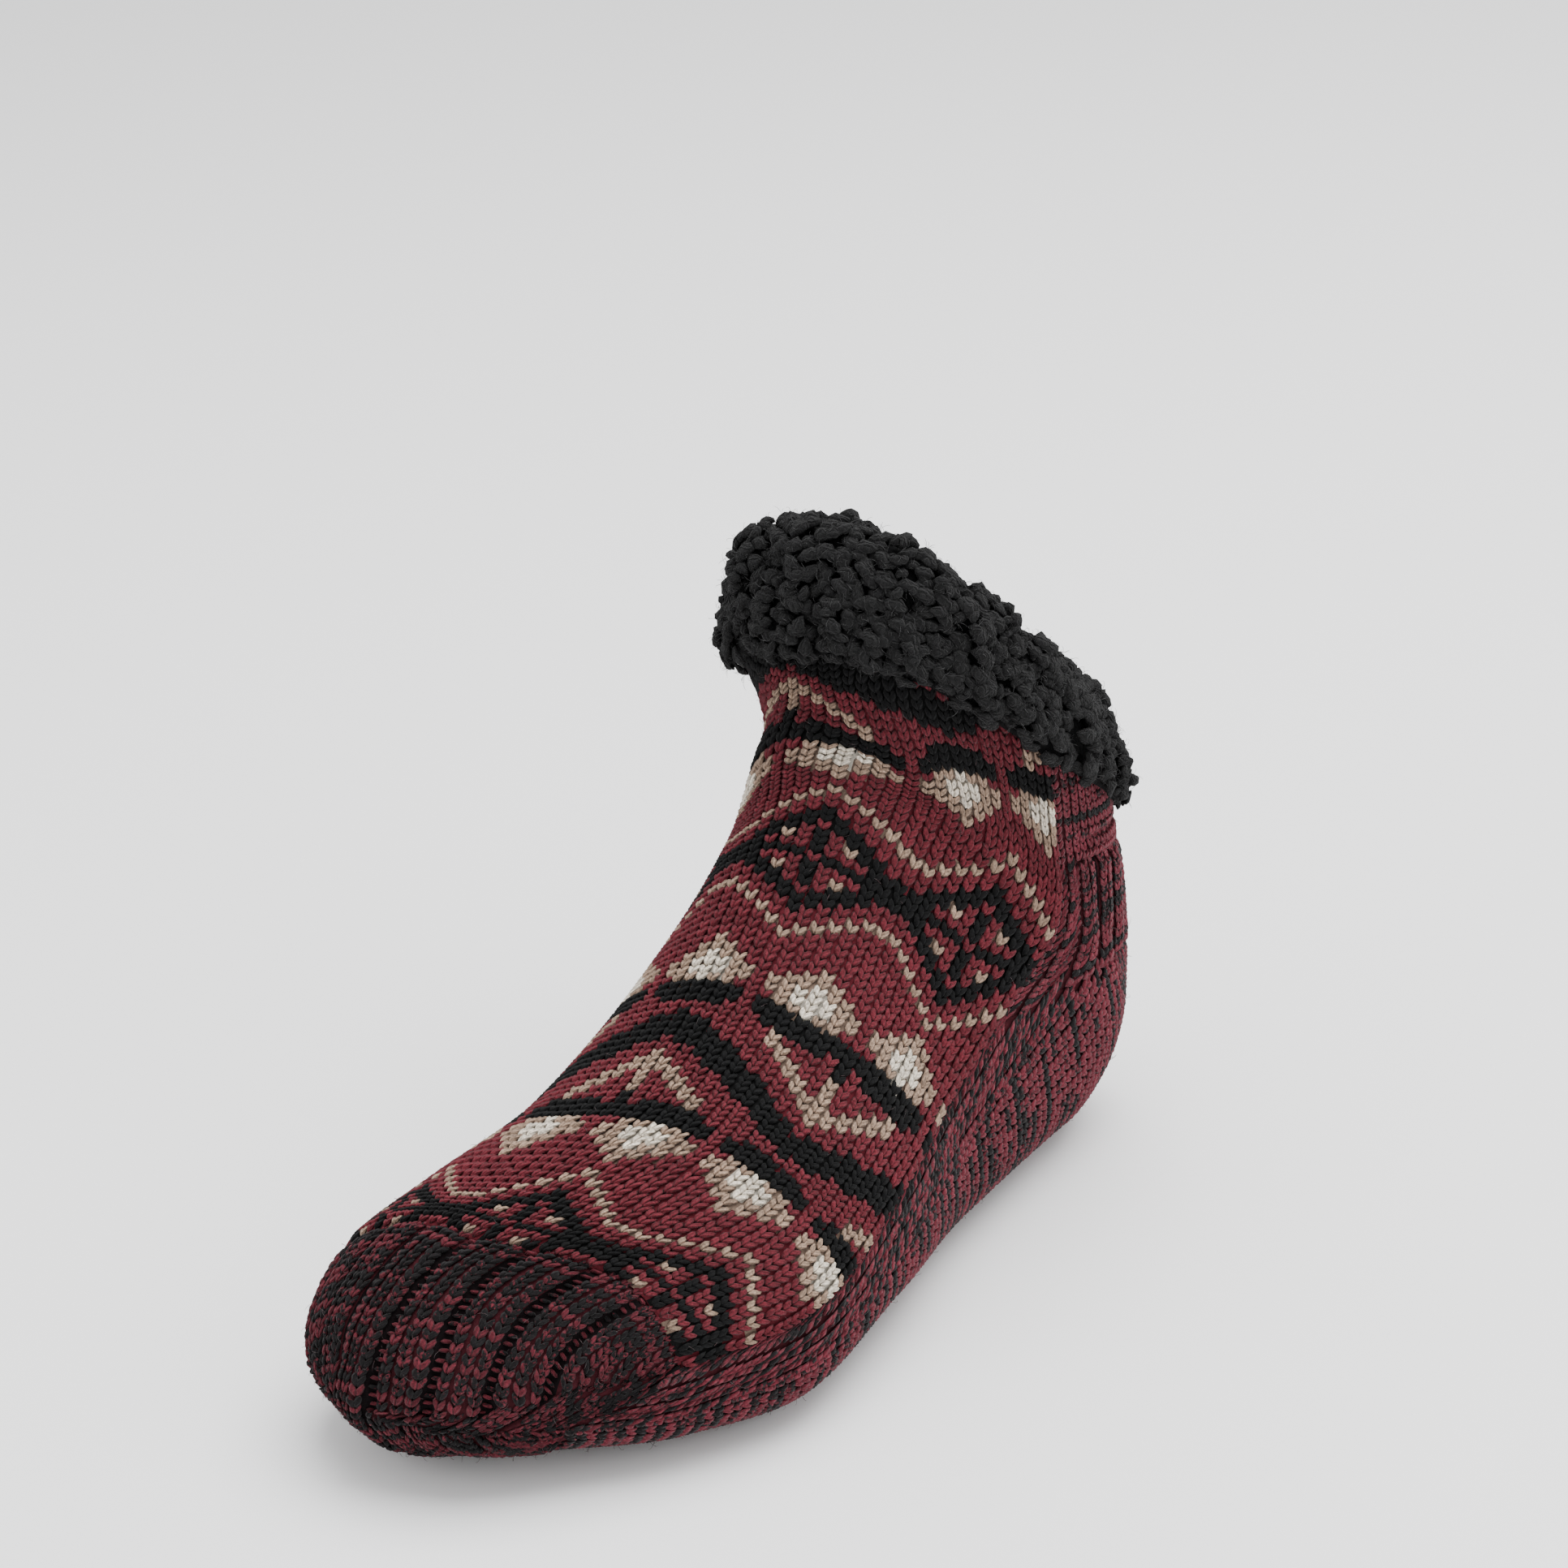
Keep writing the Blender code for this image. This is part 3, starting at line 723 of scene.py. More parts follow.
def mesh_from(name: str, points: Array, faces: Faces, uvs: Array | None = None) -> Object:
    """Make a smooth mesh object that isn't in the scene yet.

    Args:
        name: The object's name.
        points: Its vertices.
        faces: Its faces, as vertex numbers.
        uvs: A place on the yarn for each vertex, or None.

    Returns:
        The object.
    """
    mesh = bpy.data.meshes.new(name)
    mesh.from_pydata([tuple(point) for point in points], [], faces)
    mesh.shade_smooth()
    if uvs is not None:
        layer = mesh.uv_layers.new(name="UVMap")
        corners = np.zeros(len(mesh.loops), int)
        mesh.loops.foreach_get("vertex_index", corners)
        layer.data.foreach_set("uv", np.asarray(uvs, np.float32)[corners].ravel())
    return bpy.data.objects.new(name, mesh)


def sweep(line: Array, radii: Array, sides: int, squash: float, ripple: float = 0.0, seed: int = 0) -> Shape:
    """Sweep a round section along a line and close both ends to a point.

    Args:
        line: The middle line's points, the two ends among them.
        radii: The radius at each point between the ends.
        sides: How many sides the section has.
        squash: The section's height as a share of its width.
        ripple: How uneven the radius is, as a share.
        seed: Fixes the unevenness.

    Returns:
        The points, the faces and a UV place for each point.
    """
    random = np.random.default_rng(seed)
    inner = line[1:-1]
    tangent = unit(line[2:] - line[:-2])
    side = unit(np.cross(tangent, np.array([0.0, 0.0, 1.0])))
    rise = unit(np.cross(side, tangent))
    points = [line[0]]
    uvs = [(0.0, 0.5)]
    for index, middle in enumerate(inner):
        for turn in range(sides):
            angle = math.tau * turn / sides
            radius = radii[index] * (1.0 + ripple * random.uniform(-1.0, 1.0))
            points.append(middle + radius * (math.cos(angle) * side[index]
                                             + squash * math.sin(angle) * rise[index]))
            uvs.append(((index + 1.0) / (len(inner) + 1.0), turn / sides))
    points.append(line[-1])
    uvs.append((1.0, 0.5))
    faces = []
    last = len(points) - 1
    for turn in range(sides):
        following = (turn + 1) % sides
        faces.append((0, 1 + turn, 1 + following))
        for index in range(len(inner) - 1):
            low = 1 + index * sides
            high = low + sides
            faces.append((low + turn, high + turn, high + following, low + following))
        end = 1 + (len(inner) - 1) * sides
        faces.append((end + turn, last, end + following))
    return np.array(points), faces, np.array(uvs)


class Templates:
    """The small shapes that are repeated: a stitch, a ladder's bar, curls of pile and stray hairs."""

    @staticmethod
    def join(name: str, parts: list[Shape]) -> Object:
        """Make one object of several swept shapes."""
        faces = []
        start = 0
        for part_points, part_faces, _ in parts:
            faces.extend(tuple(start + corner for corner in face) for face in part_faces)
            start += len(part_points)
        points = np.concatenate([part[0] for part in parts])
        template = mesh_from(name, points, faces, np.concatenate([part[2] for part in parts]))
        local = template.data.attributes.new("local", "FLOAT_VECTOR", "POINT")
        local.data.foreach_set("vector", points.astype(np.float32).ravel())
        face_outward(template.data)
        return template

    def stitch(self, lean: float, number: int) -> Object:
        """Make a knit stitch: two legs that rise from one foot and open towards the next course.

        Args:
            lean: How far one leg stands higher than the other.
            number: The template's number.

        Returns:
            The template, one unit across and one course high.
        """
        share = np.linspace(0.0, 1.0, 5)
        radii = np.array([0.20, 0.235, 0.19])
        legs = []
        for side in (-1.0, 1.0):
            x = side * (0.05 + 0.29 * smooth(share) + 0.02 * share)
            y = -0.26 + (1.62 + side * lean) * share
            z = 0.02 + 0.26 * np.sin(math.pi * (0.10 + 0.78 * share))
            legs.append(sweep(np.stack([x, y, z], axis=1), radii, 4, 0.88))
        return self.join(f"stitch_{number}", legs)

    def bar(self) -> Object:
        """Make the short bar of yarn that crosses a ladder between two ribs."""
        share = np.linspace(0.0, 1.0, 4)
        rise = np.sin(math.pi * share)
        line = np.stack([-0.56 + 1.12 * share, 0.10 * rise, 0.26 * rise], axis=1)
        return self.join("bar", [sweep(line, np.array([0.25, 0.25]), 4, 1.0)])

    def curl(self, number: int) -> Object:
        """Make a curl of sherpa pile: a fat comma with an uneven surface."""
        random = np.random.default_rng(40 + number)
        share = np.linspace(0.0, 1.0, 6)
        bend = random.uniform(0.16, 0.34) * (1.0 if number % 2 else -1.0)
        x = -0.5 + share
        y = bend * np.sin(math.pi * share) + 0.10 * np.sin(math.tau * share + number)
        z = 0.05 + 0.42 * np.sin(math.pi * (0.06 + 0.80 * share))
        radii = np.array([0.30, 0.40, 0.39, 0.27]) * random.uniform(0.88, 1.12, 4)
        return self.join(f"curl_{number}", [sweep(np.stack([x, y, z], axis=1), radii, 7, 0.9, 0.2, number)])

    def hair(self, number: int) -> Object:
        """Make a stray hair: a thin curved strand with a free end."""
        random = np.random.default_rng(70 + number)
        share = np.linspace(0.0, 1.0, 5)
        x = share * random.uniform(0.5, 1.0)
        y = random.uniform(-0.7, 0.7) * share ** 2
        z = 0.9 * np.sin(math.pi * share * random.uniform(0.45, 0.85))
        return self.join(f"hair_{number}", [sweep(np.stack([x, y, z], axis=1), np.full(3, 0.018), 3, 1.0)])


class NodeTree:
    """A node tree that nodes are added to."""

    def __init__(self, tree: bpy.types.NodeTree) -> None:
        """Take the tree."""
        self.tree = tree

    def add(self, kind: str, settings: dict, values: dict) -> bpy.types.Node:
        """Add a node: its settings first, then the values or links of its sockets."""
        node = self.tree.nodes.new(kind)
        for name, value in settings.items():
            setattr(node, name, value)
        self.feed(node, values)
        return node

    def feed(self, node: bpy.types.Node, values: dict) -> None:
        """Set or link the sockets of a node."""
        for name, value in values.items():
            if isinstance(value, Value):
                value = value.socket
            if isinstance(value, Socket):
                self.tree.links.new(value, node.inputs[name])
            else:
                node.inputs[name].default_value = value


class SeatedCopies(NodeTree):
    """A Geometry Nodes tree that fits a copy of a template to the place and edges of every seat."""

    def __init__(self) -> None:
        """Build the tree."""
        super().__init__(bpy.data.node_groups.new("seated_copies", "GeometryNodeTree"))
        tree = self.tree
        self.sockets: dict[str, str] = {}
        inputs = {"Seats": "Geometry", "Templates": "Collection", "Finish": "Material",
                  "Tone Spread": "Float", "Seed": "Int"}
        for name, kind in inputs.items():
            socket = tree.interface.new_socket(name, in_out="INPUT", socket_type=f"NodeSocket{kind}")
            self.sockets[name] = socket.identifier
        tree.interface.new_socket("Copies", in_out="OUTPUT", socket_type="NodeSocketGeometry")
        start = tree.nodes.new("NodeGroupInput")
        end = tree.nodes.new("NodeGroupOutput")
        templates = self.add("GeometryNodeCollectionInfo", {}, {
            "Collection": start.outputs["Templates"], "Separate Children": True, "Reset Children": True})
        copies = self.add("GeometryNodeInstanceOnPoints", {}, {
            "Points": start.outputs["Seats"], "Instance": templates.outputs[0], "Pick Instance": True,
            "Instance Index": self.named("kind", "INT")})
        spread = start.outputs["Tone Spread"]
        low = self.add("ShaderNodeMath", {"operation": "SUBTRACT"}, {0: 1.0, 1: spread}).outputs[0]
        high = self.add("ShaderNodeMath", {"operation": "ADD"}, {0: 1.0, 1: spread}).outputs[0]
        tone = self.add("FunctionNodeRandomValue", {"data_type": "FLOAT"}, {
            2: low, 3: high, "Seed": start.outputs["Seed"]})
        toned = self.add("GeometryNodeStoreNamedAttribute", {"data_type": "FLOAT", "domain": "INSTANCE"}, {
            "Geometry": copies.outputs[0], "Name": "tone", "Value": tone.outputs[1]})
        made = self.add("GeometryNodeRealizeInstances", {}, {0: toned.outputs[0]})
        local = self.add("ShaderNodeSeparateXYZ", {}, {0: self.named("local", "FLOAT_VECTOR")})
        place = self.named("place", "FLOAT_VECTOR")
        for axis, edge in enumerate(("across", "along", "outward")):
            moved = self.add("ShaderNodeVectorMath", {"operation": "SCALE"},
                             {0: self.named(edge, "FLOAT_VECTOR"), "Scale": local.outputs[axis]}).outputs[0]
            place = self.add("ShaderNodeVectorMath", {"operation": "ADD"}, {0: place, 1: moved}).outputs[0]
        seated = self.add("GeometryNodeSetPosition", {}, {"Geometry": made.outputs[0], "Position": place})
        finished = self.add("GeometryNodeSetMaterial", {}, {
            "Geometry": seated.outputs[0], "Material": start.outputs["Finish"]})
        tree.links.new(finished.outputs[0], end.inputs[0])

    def named(self, name: str, kind: str) -> Socket:
        """Give the socket of a named attribute."""
        node = self.add("GeometryNodeInputNamedAttribute", {"data_type": kind}, {"Name": name})
        return node.outputs["Attribute"]

    def build(self, name: str, seats: Seats, templates: list[Object], finish: Material, spread: float,
              seed: int) -> Object:
        """Make one plain mesh of all the copies.

        Args:
            name: The piece's name.
            seats: Where the copies sit.
            templates: The small shapes, picked by the seats' kinds.
            finish: The copies' material.
            spread: How much the tone varies from copy to copy.
            seed: Fixes that variation.

        Returns:
            The piece, at the origin.
        """
        shelf = bpy.data.collections.new("templates")
        for template in templates:
            shelf.objects.link(template)
        points = bpy.data.meshes.new(name)
        points.vertices.add(len(seats.place))
        points.vertices.foreach_set("co", seats.place.astype(np.float32).ravel())
        for edge in ("place", "across", "along", "outward"):
            layer = points.attributes.new(edge, "FLOAT_VECTOR", "POINT")
            layer.data.foreach_set("vector", getattr(seats, edge).astype(np.float32).ravel())
        for label, kind, values in (("kind", "INT", seats.kind), ("yarn", "FLOAT", seats.yarn)):
            sort = np.int32 if kind == "INT" else np.float32
            points.attributes.new(label, kind, "POINT").data.foreach_set("value", values.astype(sort))
        carrier = show(bpy.data.objects.new(name + "_seats", points))
        modifier = carrier.modifiers.new("copies", "NODES")
        modifier.node_group = self.tree
        settings = {"Templates": shelf, "Finish": finish, "Tone Spread": spread, "Seed": seed}
        for label, value in settings.items():
            modifier[self.sockets[label]] = value
        bpy.context.view_layer.update()
        graph = bpy.context.evaluated_depsgraph_get()
        mesh = bpy.data.meshes.new_from_object(carrier.evaluated_get(graph), depsgraph=graph)
        mesh.name = name
        bpy.data.objects.remove(carrier)
        for template in templates:
            bpy.data.objects.remove(template)
        bpy.data.collections.remove(shelf)
        for spare in ("place", "across", "along", "outward", "kind", "local"):
            if spare in mesh.attributes:
                mesh.attributes.remove(mesh.attributes[spare])
        places = np.zeros(len(mesh.vertices) * 3, np.float32)
        mesh.vertices.foreach_get("co", places)
        places[2::3] = np.maximum(places[2::3], FLOOR_CLEARANCE)
        mesh.vertices.foreach_set("co", places)
        triangles = sum(len(polygon.vertices) - 2 for polygon in mesh.polygons)
        LOG.info("%s: %d copies, %d triangles", name, len(seats.place), triangles)
        return show(bpy.data.objects.new(name, mesh))


class Value:
    """A number that varies over a surface, with the usual operators."""

    def __init__(self, graph: "FinishGraph", socket: Socket) -> None:
        """Wrap a socket of a graph."""
        self.graph = graph
        self.socket = socket

    def maths(self, operation: str, *others: "Value | float") -> "Value":
        """Put this value and others through a Math node."""
        values = {0: self}
        values.update({index: other for index, other in enumerate(others, start=1)})
        return self.graph.value("ShaderNodeMath", {"operation": operation}, values)

    def __add__(self, other: "Value | float") -> "Value":
        """Add."""
        return self.maths("ADD", other)

    __radd__ = __add__

    def __mul__(self, other: "Value | float") -> "Value":
        """Multiply."""
        return self.maths("MULTIPLY", other)

    __rmul__ = __mul__

    def __sub__(self, other: "Value | float") -> "Value":
        """Subtract."""
        return self.maths("SUBTRACT", other)

    def __rsub__(self, other: float) -> "Value":
        """Subtract this from a number."""
        return self.graph.value("ShaderNodeMath", {"operation": "SUBTRACT"}, {0: other, 1: self})

    def wave(self) -> "Value":
        """Give the sine of this many turns, from 0 to 1."""
        return (self * math.tau).maths("SINE") * 0.5 + 0.5

    def step(self, low: float, high: float) -> "Value":
        """Ease from 0 to 1 between two values."""
        return self.graph.value("ShaderNodeMapRange", {"interpolation_type": "SMOOTHSTEP"},
                                {"Value": self, "From Min": low, "From Max": high})


class FinishGraph(NodeTree):
    """The node tree of one finish."""

    def __init__(self, name: str) -> None:
        """Start a material with its shader."""
        self.material = bpy.data.materials.new(name)
        self.material.use_nodes = True
        super().__init__(self.material.node_tree)
        self.shader = self.tree.nodes["Principled BSDF"]

    def value(self, kind: str, settings: dict, values: dict, output: int | str = 0) -> Value:
        """Add a node and give one of its outputs."""
        return Value(self, self.add(kind, settings, values).outputs[output])

    def attribute(self, name: str) -> Value:
        """Read a number that the mesh carries."""
        return self.value("ShaderNodeAttribute", {"attribute_name": name}, {}, "Fac")

    def noise(self, scale: float, detail: float, roughness: float) -> Value:
        """Give noise through the whole piece."""
        place = self.add("ShaderNodeTexCoord", {}, {}).outputs["Object"]
        return self.value("ShaderNodeTexNoise", {}, {
            "Vector": place, "Scale": scale, "Detail": detail, "Roughness": roughness})

    def along_around(self) -> tuple[Value, Value]:
        """Give how far along its strand and how far round it each place is."""
        place = self.add("ShaderNodeTexCoord", {}, {}).outputs["UV"]
        split = self.add("ShaderNodeSeparateXYZ", {}, {0: place})
        return Value(self, split.outputs[0]), Value(self, split.outputs[1])


    def scaled(self, colour: Socket | tuple, value: Value) -> Socket:
        """Make a colour darker or lighter by a value."""
        colour = colour if isinstance(colour, Socket) else colour[:3]
        values = {0: colour, "Scale": value}
        return self.add("ShaderNodeVectorMath", {"operation": "SCALE"}, values).outputs[0]

    def blend(self, share: Value, first: tuple, second: tuple) -> Socket:
        """Blend two colours."""
        return self.add("ShaderNodeMix", {"data_type": "RGBA"}, {0: share, 6: first, 7: second}).outputs[2]

    def finish(self, colour: Socket, height: Value, depth: float, roughness: float,
               sheen: float) -> Material:
        """Link the colour and the relief to the shader.

        Args:
            colour: The varying colour.
            height: The relief, 0 to 1.
            depth: Its height in metres.
            roughness: The shader's roughness.
            sheen: The weight of the fibres' sheen.

        Returns:
            The material.
        """
        bump = self.add("ShaderNodeBump", {}, {"Height": height, "Distance": depth, "Strength": 1.0})
        self.feed(self.shader, {"Base Color": colour, "Normal": bump.outputs[0], "Roughness": roughness,
                                "Sheen Weight": sheen, "Sheen Roughness": 0.6, "Specular IOR Level": 0.12})
        return self.material


@dataclass(frozen=True)
class Finish:
    """A finish with a name and a colour."""

    name: str
    colour: Colour


@dataclass(frozen=True)
class YarnFinish(Finish):
    """Plied yarn: its plies twist round each leg of a stitch, and it sinks into shade at both ends."""

    plies: float = 3.0
    twist: float = 1.6
    sheen: float = 0.04

    def material(self) -> Material:
        """Build the material: painted shade between plies and at the ends of a leg, and a tone that varies
        from stitch to stitch.
        """
        graph = FinishGraph(self.name)
        along, around = graph.along_around()
        ply = (around * self.plies + along * self.twist).wave()
        fibre = graph.noise(1300.0, 4.0, 0.65)
        ends = (along * (1.0 - along) * 4.0).step(0.0, 0.7) * 0.26 + 0.74
        shade = (ply * 0.30 + 0.70) * ends * graph.attribute("tone") * (fibre * 2.6 - 0.27)
        colour = graph.scaled(self.base(graph), shade)
        return graph.finish(colour, ply * 0.6 + fibre * 1.2, 0.00042, 0.92, self.sheen)

    def base(self, graph: FinishGraph) -> tuple | Socket:
        """Give the yarn's own colour."""
        return self.colour


@dataclass(frozen=True)
class MarlFinish(YarnFinish):
    """Yarn spun from two colours, one ply of each, so that short dark and red stretches take turns."""

    second: Colour = (0.0062, 0.0050, 0.0056, 1.0)
    flecks: float = 0.75

    def base(self, graph: FinishGraph) -> tuple | Socket:
        """Give the two colours in stretches, led by the share that each stitch carries."""
        stretch = graph.noise(620.0, 2.0, 0.6)
        share = (stretch * self.flecks + graph.attribute("yarn") - 0.5 * self.flecks).step(0.44, 0.57)
        return graph.blend(share, self.colour, self.second)


@dataclass(frozen=True)
class PileFinish(Finish):
    """Curled pile: fine strands run along each curl, with painted highlights on them and painted shade where
    they part.
    """

    strands: float = 7.0
    sheen: float = 0.05

    def material(self) -> Material:
        """Build the material."""
        graph = FinishGraph(self.name)
        along, around = graph.along_around()
        wool = graph.noise(1500.0, 4.0, 0.7)
        drift = graph.noise(420.0, 2.0, 0.5)
        strand = (around * self.strands + along * 0.8 + drift * 3.2).wave()
        shade = (strand * 0.75 + 0.4) * (wool * 2.6 - 0.25) * graph.attribute("tone")
        colour = graph.scaled(self.colour, shade)
        return graph.finish(colour, strand * 0.8 + wool * 1.5, 0.00095, 0.95, self.sheen)


@dataclass(frozen=True)
class FleeceFinish(Finish):
    """Soft pile with no yarn to be seen: cloudy tone and a woolly relief."""

    grain: float = 900.0
    depth: float = 0.0004
    sheen: float = 0.0

    def material(self) -> Material:
        """Build the material."""
        graph = FinishGraph(self.name)
        cloud = graph.noise(self.grain * 0.25, 3.0, 0.6)
        wool = graph.noise(self.grain, 4.0, 0.65)
        colour = graph.scaled(self.colour, cloud * 0.9 + wool * 0.7 + 0.25)
        return graph.finish(colour, wool + cloud * 0.6, self.depth, 0.95, self.sheen)


# The fleeces named _shade are darker copies of the yarns: painted shade that shows behind and between the
# stitches, and, for ladder_shade, in the sunken ladders between ribs
FINISHES = (
    FleeceFinish("maroon_shade", (0.082, 0.0112, 0.0165, 1.0)),
    FleeceFinish("black_shade", (0.004, 0.004, 0.004, 1.0)),
    FleeceFinish("tan_shade", (0.150, 0.105, 0.080, 1.0)),
    FleeceFinish("cream_shade", (0.400, 0.370, 0.320, 1.0)),
    FleeceFinish("marl_shade", (0.040, 0.0075, 0.0105, 1.0)),
    FleeceFinish("ladder_shade", (0.005, 0.003, 0.0035, 1.0)),
    FleeceFinish("fleece_lining", (0.020, 0.020, 0.022, 1.0), 600.0, 0.0014, 0.08),
    FleeceFinish("sherpa_core", (0.0025, 0.0025, 0.0027, 1.0), depth=0.0012),
    YarnFinish("maroon_yarn", (0.118, 0.0150, 0.0228, 1.0)),
    YarnFinish("black_yarn", (0.0050, 0.0050, 0.0053, 1.0), sheen=0.02),
    YarnFinish("tan_yarn", (0.300, 0.208, 0.152, 1.0)),
    YarnFinish("cream_yarn", (0.67, 0.60, 0.50, 1.0)),
    YarnFinish("fuzz", (0.10, 0.035, 0.042, 1.0), sheen=0.2),
    YarnFinish("cuff_fuzz", (0.016, 0.016, 0.017, 1.0), sheen=0.2),
    MarlFinish("marled_yarn", (0.135, 0.0185, 0.0295, 1.0), sheen=0.08),
    # The toe's marl: a darker red than marled_yarn, painted shade for the toe that faces down and away from
    # the top light; its charcoal flecks are bolder
    MarlFinish("toe_yarn", (0.096, 0.0130, 0.0205, 1.0), flecks=1.1),
    PileFinish("sherpa_pile", (0.0050, 0.0050, 0.0053, 1.0)),
)


def ride_as(piece: Object, replaces: tuple[str, ...] = ()) -> None:
    """Put a finished piece on the sock's one body.

    Args:
        piece: The piece.
        replaces: The solids that it stands for.
    """
    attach(piece, "root")
    if replaces:
        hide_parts(*replaces)


def closed_wall(name: str, outer: Array, inner: Array, materials: list[Material], paint: Array | None = None
                ) -> Object:
    """Build a closed wall between two grids of points.

    Args:
        name: The piece's name.
        outer: The outer face's points, columns by steps.
        inner: The inner face's points.
        materials: The finish of the outer face and rims, that of the inner face, and any others.
        paint: The number of the finish for each quad of the outer face, or None.

    Returns:
        The piece.
    """
    columns, steps = outer.shape[:2]
    offset = columns * steps
    paint = np.zeros((columns - 1, steps - 1), int) if paint is None else paint
    faces = []
    slots = []
    for column in range(columns - 1):
        for step in range(steps - 1):
            a = column * steps + step
            b = a + steps
            faces.append((a, a + 1, b + 1, b))
            faces.append((offset + a, offset + b, offset + b + 1, offset + a + 1))
            slots.extend((int(paint[column, step]), LINING_SLOT))
        for step in (0, steps - 1):
            a = column * steps + step
            b = a + steps
            faces.append((a, b, offset + b, offset + a))
            slots.append(0)
    for start in (0, (columns - 1) * steps):
        for step in range(start, start + steps - 1):
            faces.append((step, step + 1, offset + step + 1, offset + step))
            slots.append(0)
    piece = mesh_from(name, np.concatenate([outer.reshape(-1, 3), inner.reshape(-1, 3)]), faces)
    piece.data.polygons.foreach_set("material_index", np.array(slots, np.int32))
    face_outward(piece.data, weld=True)
    piece.data.shade_smooth()
    for material in materials:
        piece.data.materials.append(material)
    return show(piece)


@dataclass
class Workshop:
    """What every sub-assembly shares: the skin, the tree, the templates and the finishes."""

    form: FootForm
    copies: SeatedCopies
    templates: Templates
    finish: dict[str, Material]


